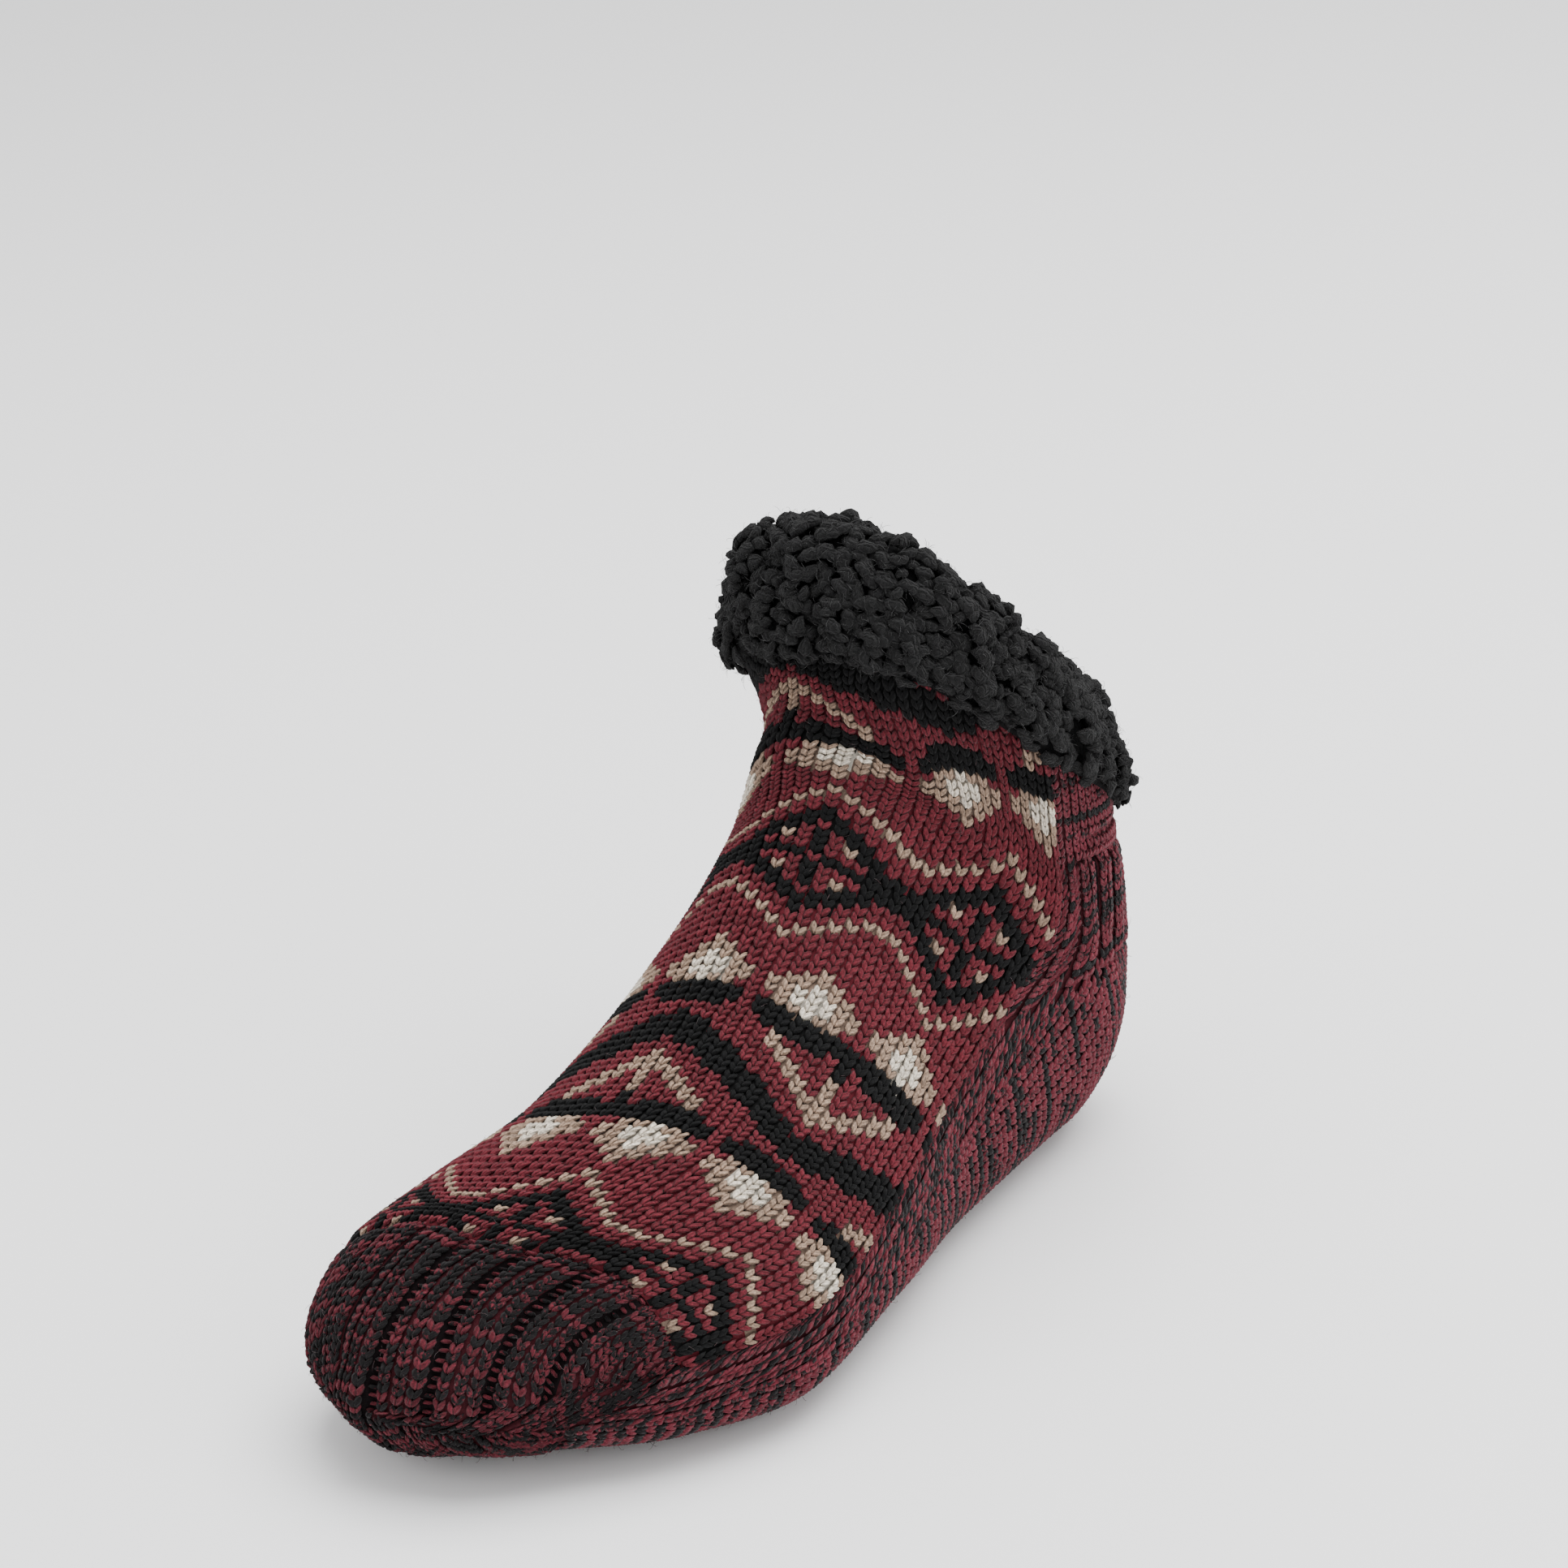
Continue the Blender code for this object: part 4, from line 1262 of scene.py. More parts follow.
@dataclass
class KnitField:
    """A knitted field of the sock: a wall, and stitches seated on it."""

    shop: Workshop
    name: str
    first_angle: float
    last_angle: float
    columns: int
    first: Line = Line.TOE_EDGE
    last: Line = Line.WALL_END
    wall_last: Line = Line.WALL_END
    wall_columns: int = 61
    wall_steps: int = 110
    outer_depth: float = 0.0
    pitch: float = 0.00262
    rib: int = 0
    rib_rise: float = 0.0008
    rib_sink: float = 0.0018
    plain_columns: float = 0.0
    plain_fade: float = 2.0
    shade_from: float = 0.25
    bar_lighter: float = 0.16
    narrowest: float = 0.0019
    loftiest: float = 0.0046
    yarn: str = "marled_yarn"
    backings: tuple[str, ...] = ("marl_shade", "fleece_lining", "ladder_shade")
    dark: float = 0.4

    def __post_init__(self) -> None:
        """Measure the fan of columns."""
        self.fan = Fan(self.shop.form, self.first_angle, self.last_angle)

    def make_grid(self) -> KnitGrid:
        """Lay out the half stitches."""
        return self.fan.even_grid(self.columns, self.pitch, self.first, self.last)

    def paint(self, share: Array, row: Array) -> Array:
        """Give the number of the finish behind each place: the darker painted shade of the ladders where the
        ribs sink deep.

        Args:
            share: The share of the way across the field, for each column of quads.
            row: The section number of each quad.

        Returns:
            The finishes' numbers.
        """
        dark = self.ribbing(share * 2.0 * self.columns) > self.shade_from * self.rib_sink
        return np.where(dark, LADDER_SLOT, 0)[:, None] + np.zeros(row.shape, int)

    def ribbing(self, half_column: Array) -> Array:
        """Give how far the ribs sink the knit at half columns: less where they rise, none at the sides."""
        if not self.rib:
            return np.zeros(np.shape(half_column))
        turn = (np.asarray(half_column, float) - 1.0) / (2.0 * self.rib)
        ladder = 0.5 + 0.5 * np.cos(math.tau * turn)
        column = 0.5 * np.asarray(half_column, float)
        window = smooth((column - self.plain_columns) / self.plain_fade)
        window = window * smooth((self.columns - self.plain_columns - column) / self.plain_fade)
        return ((self.rib_sink + self.rib_rise) * ladder ** 3 - self.rib_rise) * window

    def edge_fade(self, angle: Array, row: Array) -> Array:
        """Give how full the ribs are at each place."""
        return np.ones(np.shape(row))

    def is_ladder(self, column: Array) -> Array:
        """Tell which columns are the sunken ladders between ribs."""
        if not self.rib:
            return np.zeros(column.shape, bool)
        inside = (column > self.plain_columns) & (column < self.columns - self.plain_columns)
        return (column % self.rib == 0) & inside

    def build_wall(self) -> Object:
        """Build the closed wall behind the stitches, in the place of the solid."""
        form = self.shop.form
        share = np.linspace(0.0, 1.0, self.wall_columns)
        steps = np.linspace(0.0, 1.0, self.wall_steps)
        angle, row = self.fan.between(self.first, self.wall_last, share, steps)
        ribs = self.ribbing(share * 2.0 * self.columns)[:, None] * self.edge_fade(angle, row)
        outer = form.point(angle, row, self.outer_depth + BACKING_DEPTH + ribs)
        inner = form.point(angle, row, self.outer_depth + WALL + 0.0 * row)
        middle = 0.25 * (row[1:, 1:] + row[1:, :-1] + row[:-1, 1:] + row[:-1, :-1])
        paint = self.paint(0.5 * (share[1:] + share[:-1]), middle)
        return closed_wall(f"{self.name}_wall", outer, inner, self.wall_finishes(), paint)

    def wall_finishes(self) -> list[Material]:
        """Give the finishes of the wall: the painted shade behind the stitches, the lining inside the sock,
        and any others.
        """
        return [self.shop.finish[name] for name in self.backings]

    def seats(self, grid: KnitGrid) -> tuple[Seats, Array, Array]:
        """Seat a stitch at every middle of the grid.

        Args:
            grid: The half-stitch grid.

        Returns:
            The seats, and the column and course of each.
        """
        half = np.arange(grid.row.shape[0])[:, None] + 0 * grid.row
        ribs = self.ribbing(half) * self.edge_fade(grid.angle, grid.row)
        points = self.shop.form.point(grid.angle, grid.row, self.outer_depth + ribs)
        middle = points[1::2, 1:-1:2]
        across = points[:-2:2, 1:-1:2] - points[2::2, 1:-1:2]
        along = points[1::2, 2::2][:, :middle.shape[1]] - points[1::2, :-2:2][:, :middle.shape[1]]
        column, course = np.meshgrid(np.arange(middle.shape[0]), np.arange(middle.shape[1]), indexing="ij")
        width = np.maximum(np.linalg.norm(across, axis=-1), 1e-6)
        skip = 2 ** np.clip(np.ceil(np.log2(self.narrowest / width)), 0, 5).astype(int)
        keep = (grid.inside[1::2, 1:-1:2] & (column % skip == 0)).ravel()
        across = across * skip[..., None]
        loft = np.minimum(np.linalg.norm(across, axis=-1), self.loftiest)[..., None]
        outward = unit(np.cross(across, along)) * loft
        random = np.random.default_rng(len(self.name))
        parts = [part.reshape(-1, 3) for part in (middle, across, along, outward)]
        flat = Seats(*parts, random.integers(0, 3, keep.size), np.zeros(keep.size))
        jitter = 0.05 * random.normal(size=(keep.size, 2))
        flat.place = flat.place + flat.across * jitter[:, :1] + flat.along * jitter[:, 1:]
        return flat.pick(keep), column.ravel()[keep], course.ravel()[keep]

    def stitches(self) -> list[Object]:
        """Make the three lean variants of a stitch."""
        return [self.shop.templates.stitch(lean, number) for number, lean in enumerate((-0.06, 0.0, 0.07))]

    def knit_marl(self, grid: KnitGrid) -> None:
        """Seat marled stitches, and bars in the ladders."""
        seats, column, course = self.seats(grid)
        seats.yarn = self.marl_share(column, course)
        ladder = self.is_ladder(column)
        yarn = self.shop.finish[self.yarn]
        kinds = [(f"{self.name}_stitches", seats.pick(~ladder), self.stitches(), 0.18, 3)]
        if ladder.any():
            bars = seats.pick(ladder)
            bars.kind[:] = 0
            bars.yarn = bars.yarn - self.bar_lighter
            kinds.append((f"{self.name}_ladders", bars, [self.shop.templates.bar()], 0.2, 4))
        for name, places, templates, spread, seed in kinds:
            ride_as(self.shop.copies.build(name, places, templates, yarn, spread, seed))

    def marl_share(self, column: Array, course: Array) -> Array:
        """Give how dark each marled stitch is: short bars that come and go from course to course."""
        random = np.random.default_rng(11 + len(self.name))
        mix = 0.20 * random.uniform(0.0, 1.0, column.size) + 0.16 * (course % 2)
        for reach, weight in ((11.0, 0.36), (4.0, 0.34)):
            wide = random.uniform(0.0, 1.0, (int(column.max() / reach) + 3, int(course.max()) + 2))
            place = np.maximum(column / reach + 0.6 * np.sin(course * 1.3), 0.0)
            index = np.minimum(place.astype(int), wide.shape[0] - 2)
            share = smooth(place - index)
            mix += weight * (wide[index, course] * (1.0 - share) + wide[index + 1, course] * share)
        return mix + (self.dark - 0.5) * 0.55

    def build(self) -> None:
        """Build the wall and the marled stitches."""
        ride_as(self.build_wall(), (self.name,))
        self.knit_marl(self.make_grid())


@dataclass
class PatternedUpper(KnitField):
    """The patterned instep, from the toe cap to the cuff."""

    backings: tuple[str, ...] = ("maroon_shade", "fleece_lining", "black_shade", "tan_shade", "cream_shade")
    chart: KnitChart = field(default_factory=KnitChart)
    slack: float = 0.12
    path_start: float = 1.9

    def paint(self, share: Array, row: Array) -> Array:
        """Give the number of the finish behind each place: painted shade in the colour of the yarn of the
        stitch in front of it.
        """
        slots = {Yarn.MAROON: 0, Yarn.BLACK: 2, Yarn.TAN: 3, Yarn.CREAM: 4}
        grid = self.make_grid()
        numbers = np.zeros(row.shape, int)
        halves = np.arange(grid.row.shape[1])
        for index, place in enumerate(share):
            column = min(int(place * self.columns), self.columns - 1)
            half = np.interp(row[index], grid.row[2 * column + 1], halves)
            course = np.floor(0.5 * half - 0.5 + TOE_COURSE)
            numbers[index] = [slots[self.chart.yarn(column, int(step))] for step in course]
        return numbers

    def make_grid(self) -> KnitGrid:
        """Lay out the half stitches along the course lines."""
        form = self.shop.form
        shares = np.linspace(0.0, 1.0, 2 * self.columns + 1)
        tables = [line[2:] for line in COURSE_LINES] + [CUFF_COURSES]
        across = [SmoothCurve(np.array(COURSE_SHARES), np.array(table)).at(shares) for table in tables]
        toe = self.fan.edge(Line.TOE_EDGE, shares, form.toe_ridge)
        keys = np.array([toe] + across[:-1] + [np.full(shares.shape, CUFF_ROW)])
        path = np.linspace(self.path_start, COLLAR_ROW, 500)[None, :] + 0.0 * shares[:, None]
        length = way_along(form.plain_point(self.fan.angle(shares[:, None] + 0.0 * path, path), path, 0.0))
        wanted = np.arange(2 * int(TOE_COURSE), 2 * int(max(CUFF_COURSES)) + 9) * 0.5
        rows = []
        for index in range(len(shares)):
            at_keys = np.interp(keys[:, index], path[index], length[index])
            marks = np.array([TOE_COURSE] + [line[1] for line in COURSE_LINES] + [across[-1][index]])
            last_pitch = (at_keys[-1] - at_keys[-2]) / (marks[-1] - marks[-2])
            run = SmoothCurve(marks, at_keys).at(wanted) + np.maximum(wanted - marks[-1], 0.0) * last_pitch
            rows.append(np.interp(run, length[index], path[index]))
        row = np.stack(rows)
        angle = self.fan.angle(shares[:, None] + 0.0 * row, row)
        end = CUFF_ROW + self.slack + np.interp(angle % 360.0, CUFF_ANGLES, CUFF_LOWER_LIFT)
        return KnitGrid(angle, row, row < end)

    def build(self) -> None:
        """Build the wall and one piece of stitches for each yarn."""
        ride_as(self.build_wall(), ("upper",))
        seats, column, course = self.seats(self.make_grid())
        course = course + int(TOE_COURSE)
        yarns = np.array([self.chart.yarn(int(c), int(k)).value for c, k in zip(column, course)])
        for number, yarn in enumerate(Yarn):
            finish = self.shop.finish[f"{yarn.value}_yarn"]
            chosen = seats.pick(yarns == yarn.value)
            name = f"upper_{yarn.value}"
            piece = self.shop.copies.build(name, chosen, self.stitches(), finish, 0.17, 20 + number)
            ride_as(piece)


@dataclass
class RibbedToe(KnitField):
    """The ribbed toe cap, whose ribs run side by side over the tip and on underneath."""

    hoop_turn: float = 88.0
    flat_angle: float = 92.0

    def hoops(self, lines: int, steps: int, reach: float) -> tuple[Array, Array]:
        """Lay hoops over the toe.

        Args:
            lines: How many hoops, from the outer side.
            steps: How many points each has, from under the toe to its top edge.
            reach: The outermost hoop's turn in degrees.

        Returns:
            The angles and the rows of the points.
        """
        turn = np.linspace(reach, -reach, lines)[:, None] + np.zeros((1, steps))
        sweep_angle = np.linspace(-90.0, 90.0, steps)[None, :] + np.zeros((lines, 1))
        return ToeHoops(self.shop.form).place(turn, sweep_angle)

    def make_grid(self) -> KnitGrid:
        """Lay courses an even pitch apart along every hoop, counted from the top edge."""
        angle, row = self.hoops(2 * self.columns + 1, 240, self.hoop_turn)
        length = way_along(self.shop.form.plain_point(angle, row, 0.0)[:, ::-1])
        half_courses = 2 * (int(length.max() / self.pitch) + 1)
        stops = 0.5 * self.pitch * np.arange(half_courses + 1)
        unrolled = np.degrees(np.unwrap(np.radians(angle[:, ::-1] % 360.0), axis=1))
        angles = np.stack([np.interp(stops, own, turn) for own, turn in zip(length, unrolled)])
        rows = np.stack([np.interp(stops, own, way) for own, way in zip(length, row[:, ::-1])])
        inside = stops[None, :] < length[:, -1:]
        return KnitGrid(angles[:, ::-1], rows[:, ::-1], inside[:, ::-1])

    def build_wall(self) -> Object:
        """Build the wall behind the stitches."""
        lines = 4 * self.columns + 1
        angle, row = self.hoops(lines, 64, 90.0)
        place = (1.0 + np.linspace(-90.0, 90.0, lines) / self.hoop_turn) * self.columns
        ribs = self.ribbing(place)[:, None] * self.edge_fade(angle, row)
        outer = self.shop.form.point(angle, row, self.outer_depth + BACKING_DEPTH + ribs)
        inner = self.shop.form.plain_point(angle, row, self.outer_depth + WALL + 0.0 * row)
        # Painted shade: where the ribs sink deep, the ladders take the dark ladder finish
        dark = 0.5 * (ribs[1:, 1:] + ribs[:-1, :-1]) > self.shade_from * self.rib_sink
        paint = np.where(dark, LADDER_SLOT, 0)
        return closed_wall("toe_cap_wall", outer, inner, self.wall_finishes(), paint)

    def edge_fade(self, angle: Array, row: Array) -> Array:
        """Give how full the ribs are: they flatten out at the toe cap's edge and underneath."""
        edge = 0.25 + 0.75 * smooth((self.shop.form.toe_edge(angle) - row) / 0.25)
        under = smooth((row - 0.8) / 0.9) * smooth((self.flat_angle - np.abs(signed(angle))) / 30.0)
        return edge * (1.0 - under)


@dataclass
class Footbed:
    """The fleece under the foot."""

    shop: Workshop
    toe_row: float = 1.60
    heel_row: float = 7.00
    half_angle: float = 61.5
    gap: float = 0.0006
    thickness: float = 0.0022
    pile: float = 0.0005
    columns: int = 61
    steps: int = 140

    def build(self) -> None:
        """Build the pad with a gently uneven top."""
        form = self.shop.form
        lining = self.shop.finish["fleece_lining"]
        turns = np.linspace(-self.half_angle, self.half_angle, self.columns)
        angle, row = np.meshgrid(turns, np.linspace(self.toe_row, self.heel_row, self.steps), indexing="ij")
        random = np.random.default_rng(5)
        waves = np.zeros(angle.shape)
        for _ in range(14):
            turn = random.uniform(0.08, 0.35)
            along = random.uniform(3.0, 16.0)
            phase = random.uniform(0.0, math.tau)
            waves += np.sin(turn * angle + along * row + phase)
        under = form.plain_point(angle, row, WALL + self.gap + 0.0 * row)
        top = form.plain_point(angle, row, WALL + self.gap + self.thickness + self.pile * waves / 4.0)
        pad = closed_wall("footbed", under, top, [lining, lining])
        ride_as(pad, ("insole",))


@dataclass
class SherpaCuff:
    """The rolled sherpa cuff: a roll over the collar, covered in curls."""

    shop: Workshop
    bulge: float = 0.0085
    back_share: float = 0.65
    inner_bulge: float = 0.0060
    gap: float = 0.0006
    base_share: float = 0.70
    inner_share: float = 0.35
    top_share: float = 0.50
    curl_length: float = 0.0058
    curl_width: float = 0.0046
    curl_height: float = 0.0044
    spacing_around: float = 0.0033
    spacing_across: float = 0.0028
    first_curls: float = 1.25
    clump_height: float = 0.0016
    profile: tuple[tuple[float, str, float], ...] = (
        (0.02, "outer", 0.00), (-0.03, "outer", 0.45), (0.05, "outer", 0.82), (0.22, "outer", 0.97),
        (0.42, "outer", 1.00), (0.62, "outer", 0.98), (0.82, "outer", 0.86), (0.98, "outer", 0.60),
        (1.08, "outer", 0.25), (1.12, "outer", 0.00), (1.12, "inner", 0.00), (1.09, "inner", 0.55),
        (1.00, "inner", 0.92), (0.85, "inner", 1.00), (0.68, "inner", 0.85), (0.58, "inner", 0.45),
        (0.56, "inner", 0.00), (0.78, "inner", 0.00), (1.00, "inner", 0.00), (1.00, "outer", 0.00),
        (0.68, "outer", 0.00), (0.35, "outer", 0.00),
    )
    slot_points: int = 5
    slot_lift: float = 0.015
    lower_points: int = 7
    upper_points: int = 16
    edge_reach: float = 0.6
    flat_from: float = 0.8
    around: int = 168

    def surface(self, angle: Array, place: Array) -> Array:
        """Give points of the roll.

        Args:
            angle: Angles round the collar.
            place: Places along the profile, in profile points.

        Returns:
            An array of points.
        """
        table = []
        for index, (rise, layer, bulge) in enumerate(self.profile):
            in_slot = rise == 1.0 and index >= len(self.profile) - self.slot_points
            lowered = min(rise, self.flat_from) + self.top_share * max(rise - self.flat_from, 0.0)
            level = CUFF_ROW + (COLLAR_ROW - CUFF_ROW) * (lowered + (self.slot_lift if in_slot else 0.0))
            low = max(1.0 - max(rise, 0.0) / self.edge_reach, 0.0) * (index < self.lower_points)
            high = smooth((rise - 1.0 + self.edge_reach) / self.edge_reach) * (index < self.upper_points)
            outer = layer == "outer"
            face = -PATTERN_STEP - self.gap if outer else WALL + self.gap
            table.append((level, low, high, face, bulge if outer else -bulge))
        knots = np.arange(len(table))
        row, low, high, face, swell = [np.interp(place, knots, values) for values in zip(*table)]
        turn = angle % 360.0
        row = row + low * np.interp(turn, CUFF_ANGLES, CUFF_LOWER_LIFT)
        row = row + high * np.interp(turn, CUFF_ANGLES, CUFF_UPPER_LIFT)
        full = 1.0 - (1.0 - self.back_share) * (0.5 + 0.5 * np.cos(np.radians(angle)))
        outside = swell * full * self.bulge * self.base_share
        inside = swell * self.inner_bulge * self.inner_share
        return self.shop.form.plain_point(angle, row, face - np.where(swell > 0.0, outside, inside))

    def build(self) -> None:
        """Build the roll and seat the curls on it."""
        count = len(self.profile)
        turns = np.linspace(0.0, 360.0, self.around, endpoint=False)
        angle, place = np.meshgrid(turns, np.arange(float(count)), indexing="ij")
        faces = []
        for ring in range(self.around):
            here = ring * count
            beside = (ring + 1) % self.around * count
            for index in range(count):
                after = (index + 1) % count
                faces.append((here + index, here + after, beside + after, beside + index))
        roll = show(mesh_from("cuff_roll", self.surface(angle, place).reshape(-1, 3), faces))
        face_outward(roll.data)
        roll.data.materials.append(self.shop.finish["sherpa_core"])
        ride_as(roll, ("cuff",))
        curls = [self.shop.templates.curl(number) for number in range(5)]
        pile = self.shop.finish["sherpa_pile"]
        piece = self.shop.copies.build("cuff_curls", self.curl_seats(), curls, pile, spread=0.32, seed=9)
        ride_as(piece)

    @staticmethod
    def clumps(angle: Array, place: Array) -> Array:
        """Give how far the curls bunch up, about -1 to 1, in knots about a centimetre across."""
        random = np.random.default_rng(29)
        total = np.zeros(angle.shape)
        for _ in range(12):
            turns = random.integers(9, 34)
            across = random.uniform(-1.4, 1.4)
            total += np.sin(np.radians(angle) * turns + across * place + random.uniform(0.0, math.tau))
        return total / 3.4

    def curl_seats(self) -> Seats:
        """Seat curls in a jittered brick bond over the part of the roll that shows."""
        random = np.random.default_rng(17)
        visible = len(self.profile) - self.slot_points - 1
        samples = np.linspace(self.first_curls, visible - 0.2, 200)
        line = self.surface(np.full(200, 180.0), samples)
        length = way_along(line)
        lanes = int(length[-1] / self.spacing_across)
        angles = []
        places = []
        for lane in range(lanes):
            place = float(np.interp((lane + 0.5) / lanes * length[-1], length, samples))
            turns = np.arange(0.0, 361.0, 5.0)
            way = way_along(self.surface(turns, np.full(turns.shape, place)))
            count = int(way[-1] / self.spacing_around)
            marks = np.arange(count) + 0.5 * (lane % 2) + random.uniform(-0.32, 0.32, count)
            stops = marks / count * way[-1]
            angles.append(np.interp(stops % way[-1], way, turns))
            spread = 0.34 * length[-1] / lanes
            at = np.interp(place, samples, length) + random.uniform(-spread, spread, count)
            places.append(np.interp(at, length, samples))
        angle = np.concatenate(angles)
        place = np.concatenate(places)
        seat = self.surface(angle, place)
        around = unit(self.surface(angle + 1.0, place) - self.surface(angle - 1.0, place))
        across = unit(self.surface(angle, place + 0.2) - self.surface(angle, place - 0.2))
        normal = unit(np.cross(around, across))
        core = self.shop.form.plain_point(angle, np.full(angle.shape, CUFF_ROW + 0.6), 0.0015)
        normal *= np.sign(np.sum(normal * (seat - core), axis=-1, keepdims=True) + 1e-9)
        turn = random.normal(0.0, 0.62, angle.size)
        turn = turn + np.where(random.uniform(size=angle.size) < 0.5, math.pi, 0.0)
        size = random.uniform(0.78, 1.22, (angle.size, 3))
        size[:, 2] *= 0.45 + 0.55 * smooth((place - self.first_curls) / 1.6)
        size *= np.where(place > 10.5, 0.82, 1.0)[:, None]
        seat = seat + normal * (self.clump_height * self.clumps(angle, place))[:, None]
        forward = around * np.cos(turn)[:, None] + across * np.sin(turn)[:, None]
        sideways = np.cross(normal, forward)
        edges = (forward * size[:, :1] * self.curl_length, sideways * size[:, 1:2] * self.curl_width,
                 normal * size[:, 2:] * self.curl_height)
        return Seats(seat, *edges, random.integers(0, 5, angle.size), np.zeros(angle.size))


@dataclass
class StrayHairs:
    """The fuzz that stands off the knit and the pile."""

    shop: Workshop
    on_knit: int = 1500
    on_cuff: int = 4500
    length: float = 0.0030
    root_height: float = 0.0010

    def build(self, cuff: SherpaCuff) -> None:
        """Scatter fine hairs over the knit and over the pile."""
        form = self.shop.form
        random = np.random.default_rng(23)
        angle = random.uniform(-180.0, 180.0, self.on_knit)
        row = random.uniform(0.2, CUFF_ROW, self.on_knit)
        place = form.point(angle, row, -self.root_height)
        self.scatter("stray_hairs", place, -form.inward(angle, row), "fuzz")
        curls = cuff.curl_seats()
        chosen = random.integers(0, len(curls.place), self.on_cuff)
        place = curls.place[chosen] + curls.outward[chosen] * random.uniform(0.35, 0.75, (self.on_cuff, 1))
        self.scatter("cuff_hairs", place, unit(curls.outward[chosen]), "cuff_fuzz")

    def scatter(self, name: str, place: Array, normal: Array, finish: str) -> None:
        """Stand hairs on places, each in its own direction.

        Args:
            name: The piece's name.
            place: Where the hairs stand.
            normal: The surface's direction at each place.
            finish: The name of the hairs' finish.
        """
        count = len(place)
        random = np.random.default_rng(count)
        along = unit(np.cross(normal, random.normal(size=(count, 3))))
        sideways = np.cross(normal, along)
        size = self.length * random.uniform(0.5, 1.3, (count, 1))
        edges = (along * size, sideways * size, normal * size * 0.7)
        seats = Seats(place, *edges, random.integers(0, 4, count), np.zeros(count))
        hairs = [self.shop.templates.hair(number) for number in range(4)]
        made = self.shop.copies.build(name, seats, hairs, self.shop.finish[finish], spread=0.3, seed=31)
        ride_as(made)


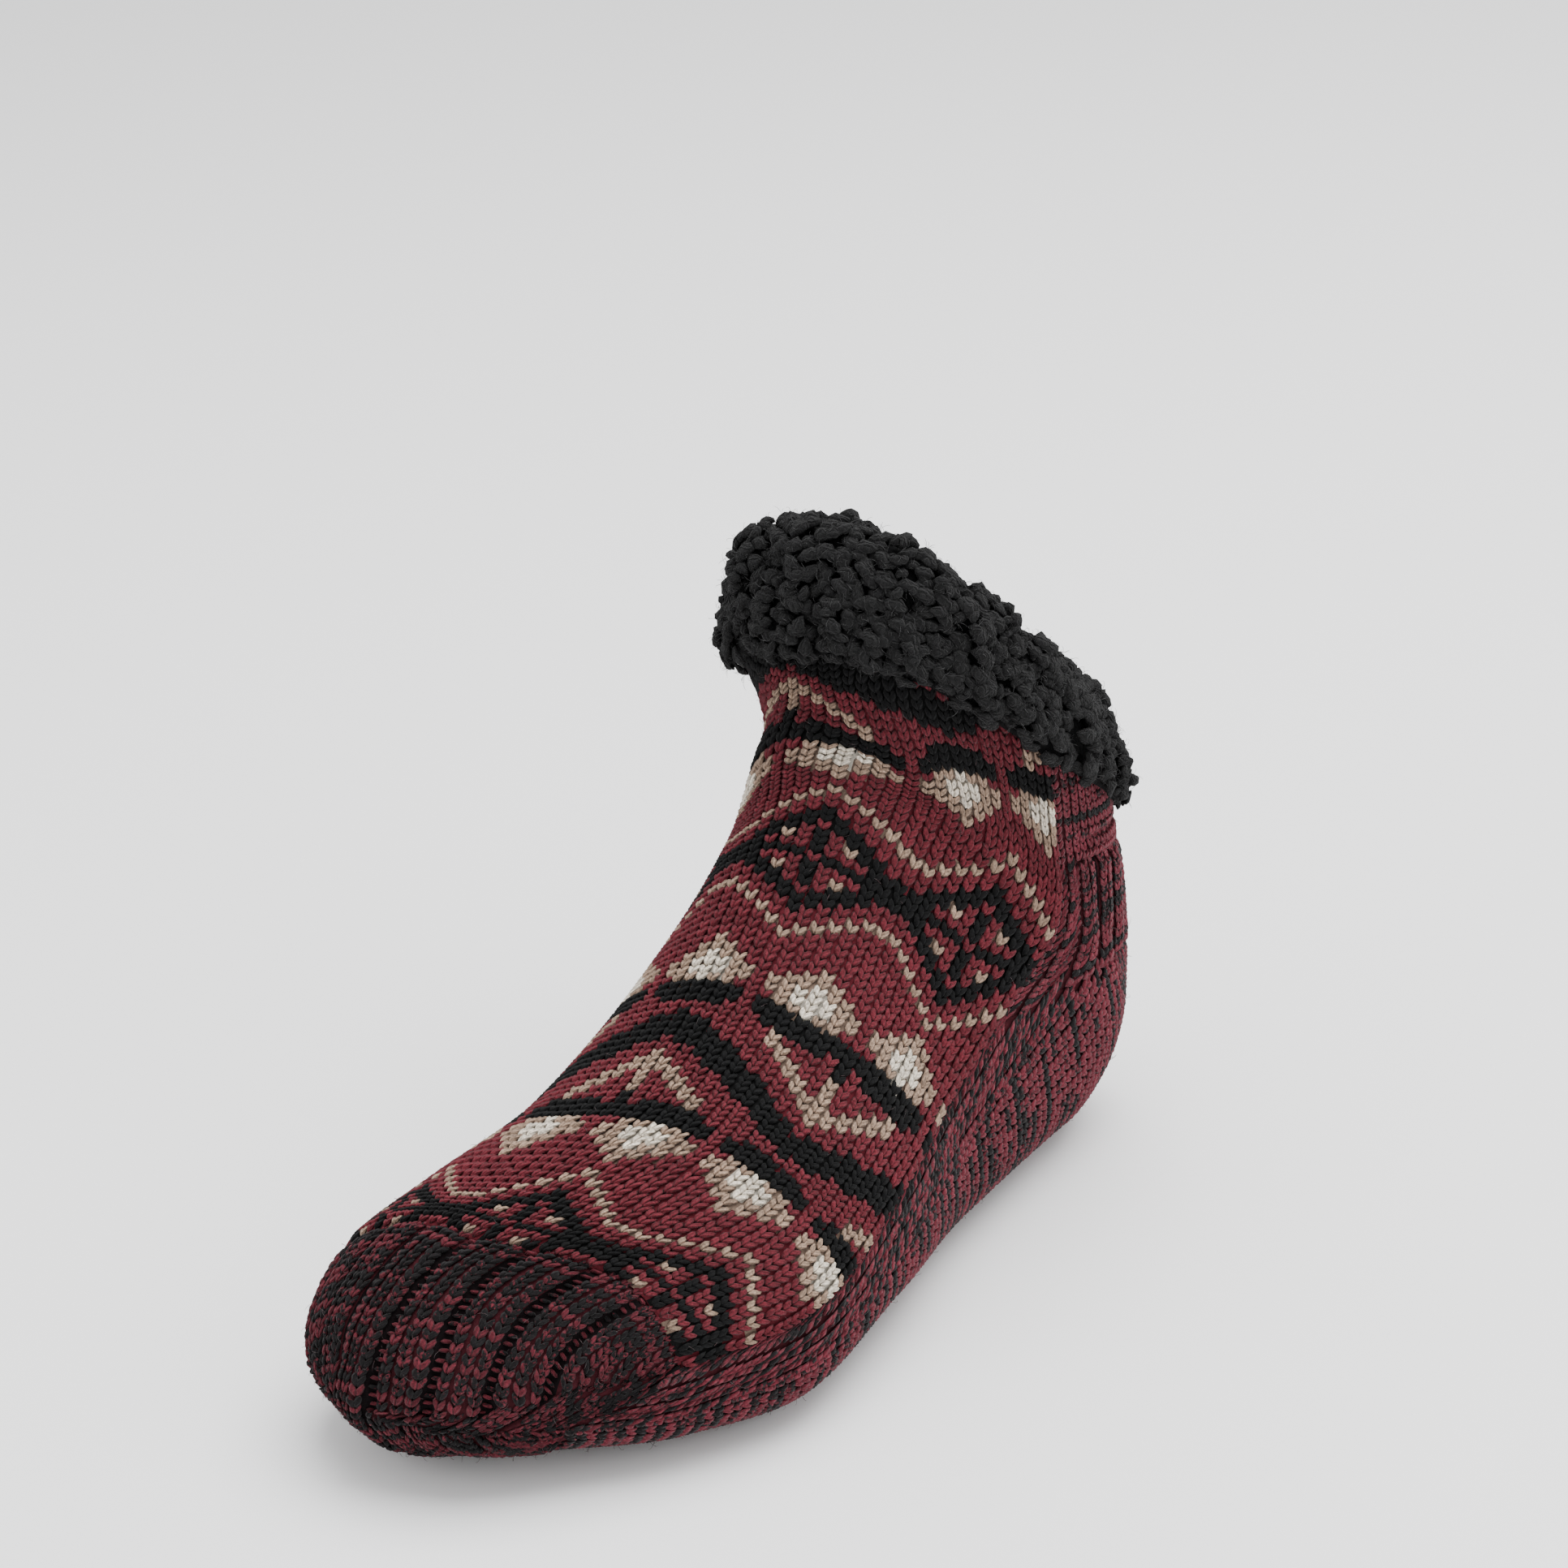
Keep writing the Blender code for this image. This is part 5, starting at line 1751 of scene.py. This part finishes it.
@dataclass(frozen=True)
class Studio:
    """The photo's camera, a pale floor and soft light."""

    azimuth: float = 43.64
    elevation: float = 23.91
    roll: float = -4.50
    distance: float = 0.972
    focal_pixels: float = 4293.0
    image_pixels: float = 1932.0
    sensor: float = 36.0
    target: tuple[float, float, float] = (-0.00885, 0.02756, 0.14188)
    floor_size: float = 9.0
    world_strength: float = 1.1
    aim: tuple[float, float, float] = (0.0, 0.0, 0.08)
    lights: tuple[tuple[str, tuple[float, float, float], float, float], ...] = (
        ("top", (0.45, 0.35, 2.1), 1.8, 80.0),
        ("front", (-0.4, -1.6, 1.1), 1.4, 5.0),
        ("side", (1.6, 0.2, 0.8), 1.2, 9.0),
    )

    def build(self) -> None:
        """Add the camera, the floor and the lights."""
        turn = math.radians(self.azimuth)
        rise = math.radians(self.elevation)
        lean = math.radians(self.roll)
        back = Vector((math.sin(turn) * math.cos(rise), -math.cos(turn) * math.cos(rise), math.sin(rise)))
        level = Vector((math.cos(turn), math.sin(turn), 0.0))
        upright = back.cross(level)
        right = level * math.cos(lean) + upright * math.sin(lean)
        up = upright * math.cos(lean) - level * math.sin(lean)
        data = bpy.data.cameras.new("camera")
        data.sensor_width = self.sensor
        data.lens = self.sensor * self.focal_pixels / self.image_pixels
        data.clip_start = 0.05
        data.clip_end = 50.0
        camera = show(bpy.data.objects.new("camera", data))
        place = Matrix((right, up, back)).transposed().to_4x4()
        place.translation = Vector(self.target) + back * self.distance
        camera.matrix_world = place
        bpy.context.scene.camera = camera
        self.floor()
        for name, spot, size, power in self.lights:
            self.light(name, spot, size, power)
        world = bpy.data.worlds.new("studio")
        world.use_nodes = True
        world.node_tree.nodes["Background"].inputs["Color"].default_value = (1.0, 1.0, 1.0, 1.0)
        world.node_tree.nodes["Background"].inputs["Strength"].default_value = self.world_strength
        bpy.context.scene.world = world

    def floor(self) -> None:
        """Add the pale floor."""
        half = 0.5 * self.floor_size
        corners = np.array([(-half, -half, 0.0), (half, -half, 0.0), (half, half, 0.0), (-half, half, 0.0)])
        plane = show(mesh_from("floor", corners, [(0, 1, 2, 3)]))
        graph = FinishGraph("pale_floor")
        values = {"Base Color": (0.93, 0.93, 0.935, 1.0), "Roughness": 0.85, "Specular IOR Level": 0.1}
        graph.feed(graph.shader, values)
        plane.data.materials.append(graph.material)

    def light(self, name: str, place: tuple[float, float, float], size: float, power: float) -> None:
        """Add a soft square light that faces the sock."""
        data = bpy.data.lights.new(name, "AREA")
        data.size = size
        data.energy = power
        lamp = show(bpy.data.objects.new(name, data))
        lamp.location = place
        lamp.rotation_euler = (Vector(self.aim) - Vector(place)).to_track_quat("-Z", "Y").to_euler()


def main() -> None:
    """Build the sock's pieces in order, then the studio."""
    logging.basicConfig(level=logging.INFO, format="%(message)s")
    form = FootForm()
    form.settle()
    finishes = {finish.name: finish.material() for finish in FINISHES}
    shop = Workshop(form, SeatedCopies(), Templates(), finishes)
    over = (SEAM_ANGLE, 360.0 - SEAM_ANGLE)
    under = (-SEAM_ANGLE, SEAM_ANGLE)
    PatternedUpper(shop, "upper", *over, columns=40, wall_columns=81, outer_depth=-PATTERN_STEP).build()
    # The toe cap's marl carries painted shade in its darker red
    RibbedToe(shop, "toe_cap", -180.0, 180.0, columns=44, rib=4, plain_columns=6.0, pitch=0.0025,
              yarn="toe_yarn", dark=0.47).build()
    KnitField(shop, "sole", *under, columns=40, last=Line.GORE, wall_last=Line.GORE, dark=0.36).build()
    KnitField(shop, "heel_cup", *under, columns=45, first=Line.GORE, last=Line.BAND, wall_last=Line.BAND,
              wall_columns=91, wall_steps=26, rib=3, rib_rise=0.0006, rib_sink=0.0014, plain_columns=1.0,
              plain_fade=1.5, dark=0.32).build()
    KnitField(shop, "back_panel", *under, columns=42, first=Line.BAND, last=Line.UNDER_CUFF, wall_steps=34,
              dark=0.24).build()
    Footbed(shop).build()
    cuff = SherpaCuff(shop)
    cuff.build()
    StrayHairs(shop).build(cuff)
    Studio().build()


if __name__ == "__main__":
    main()
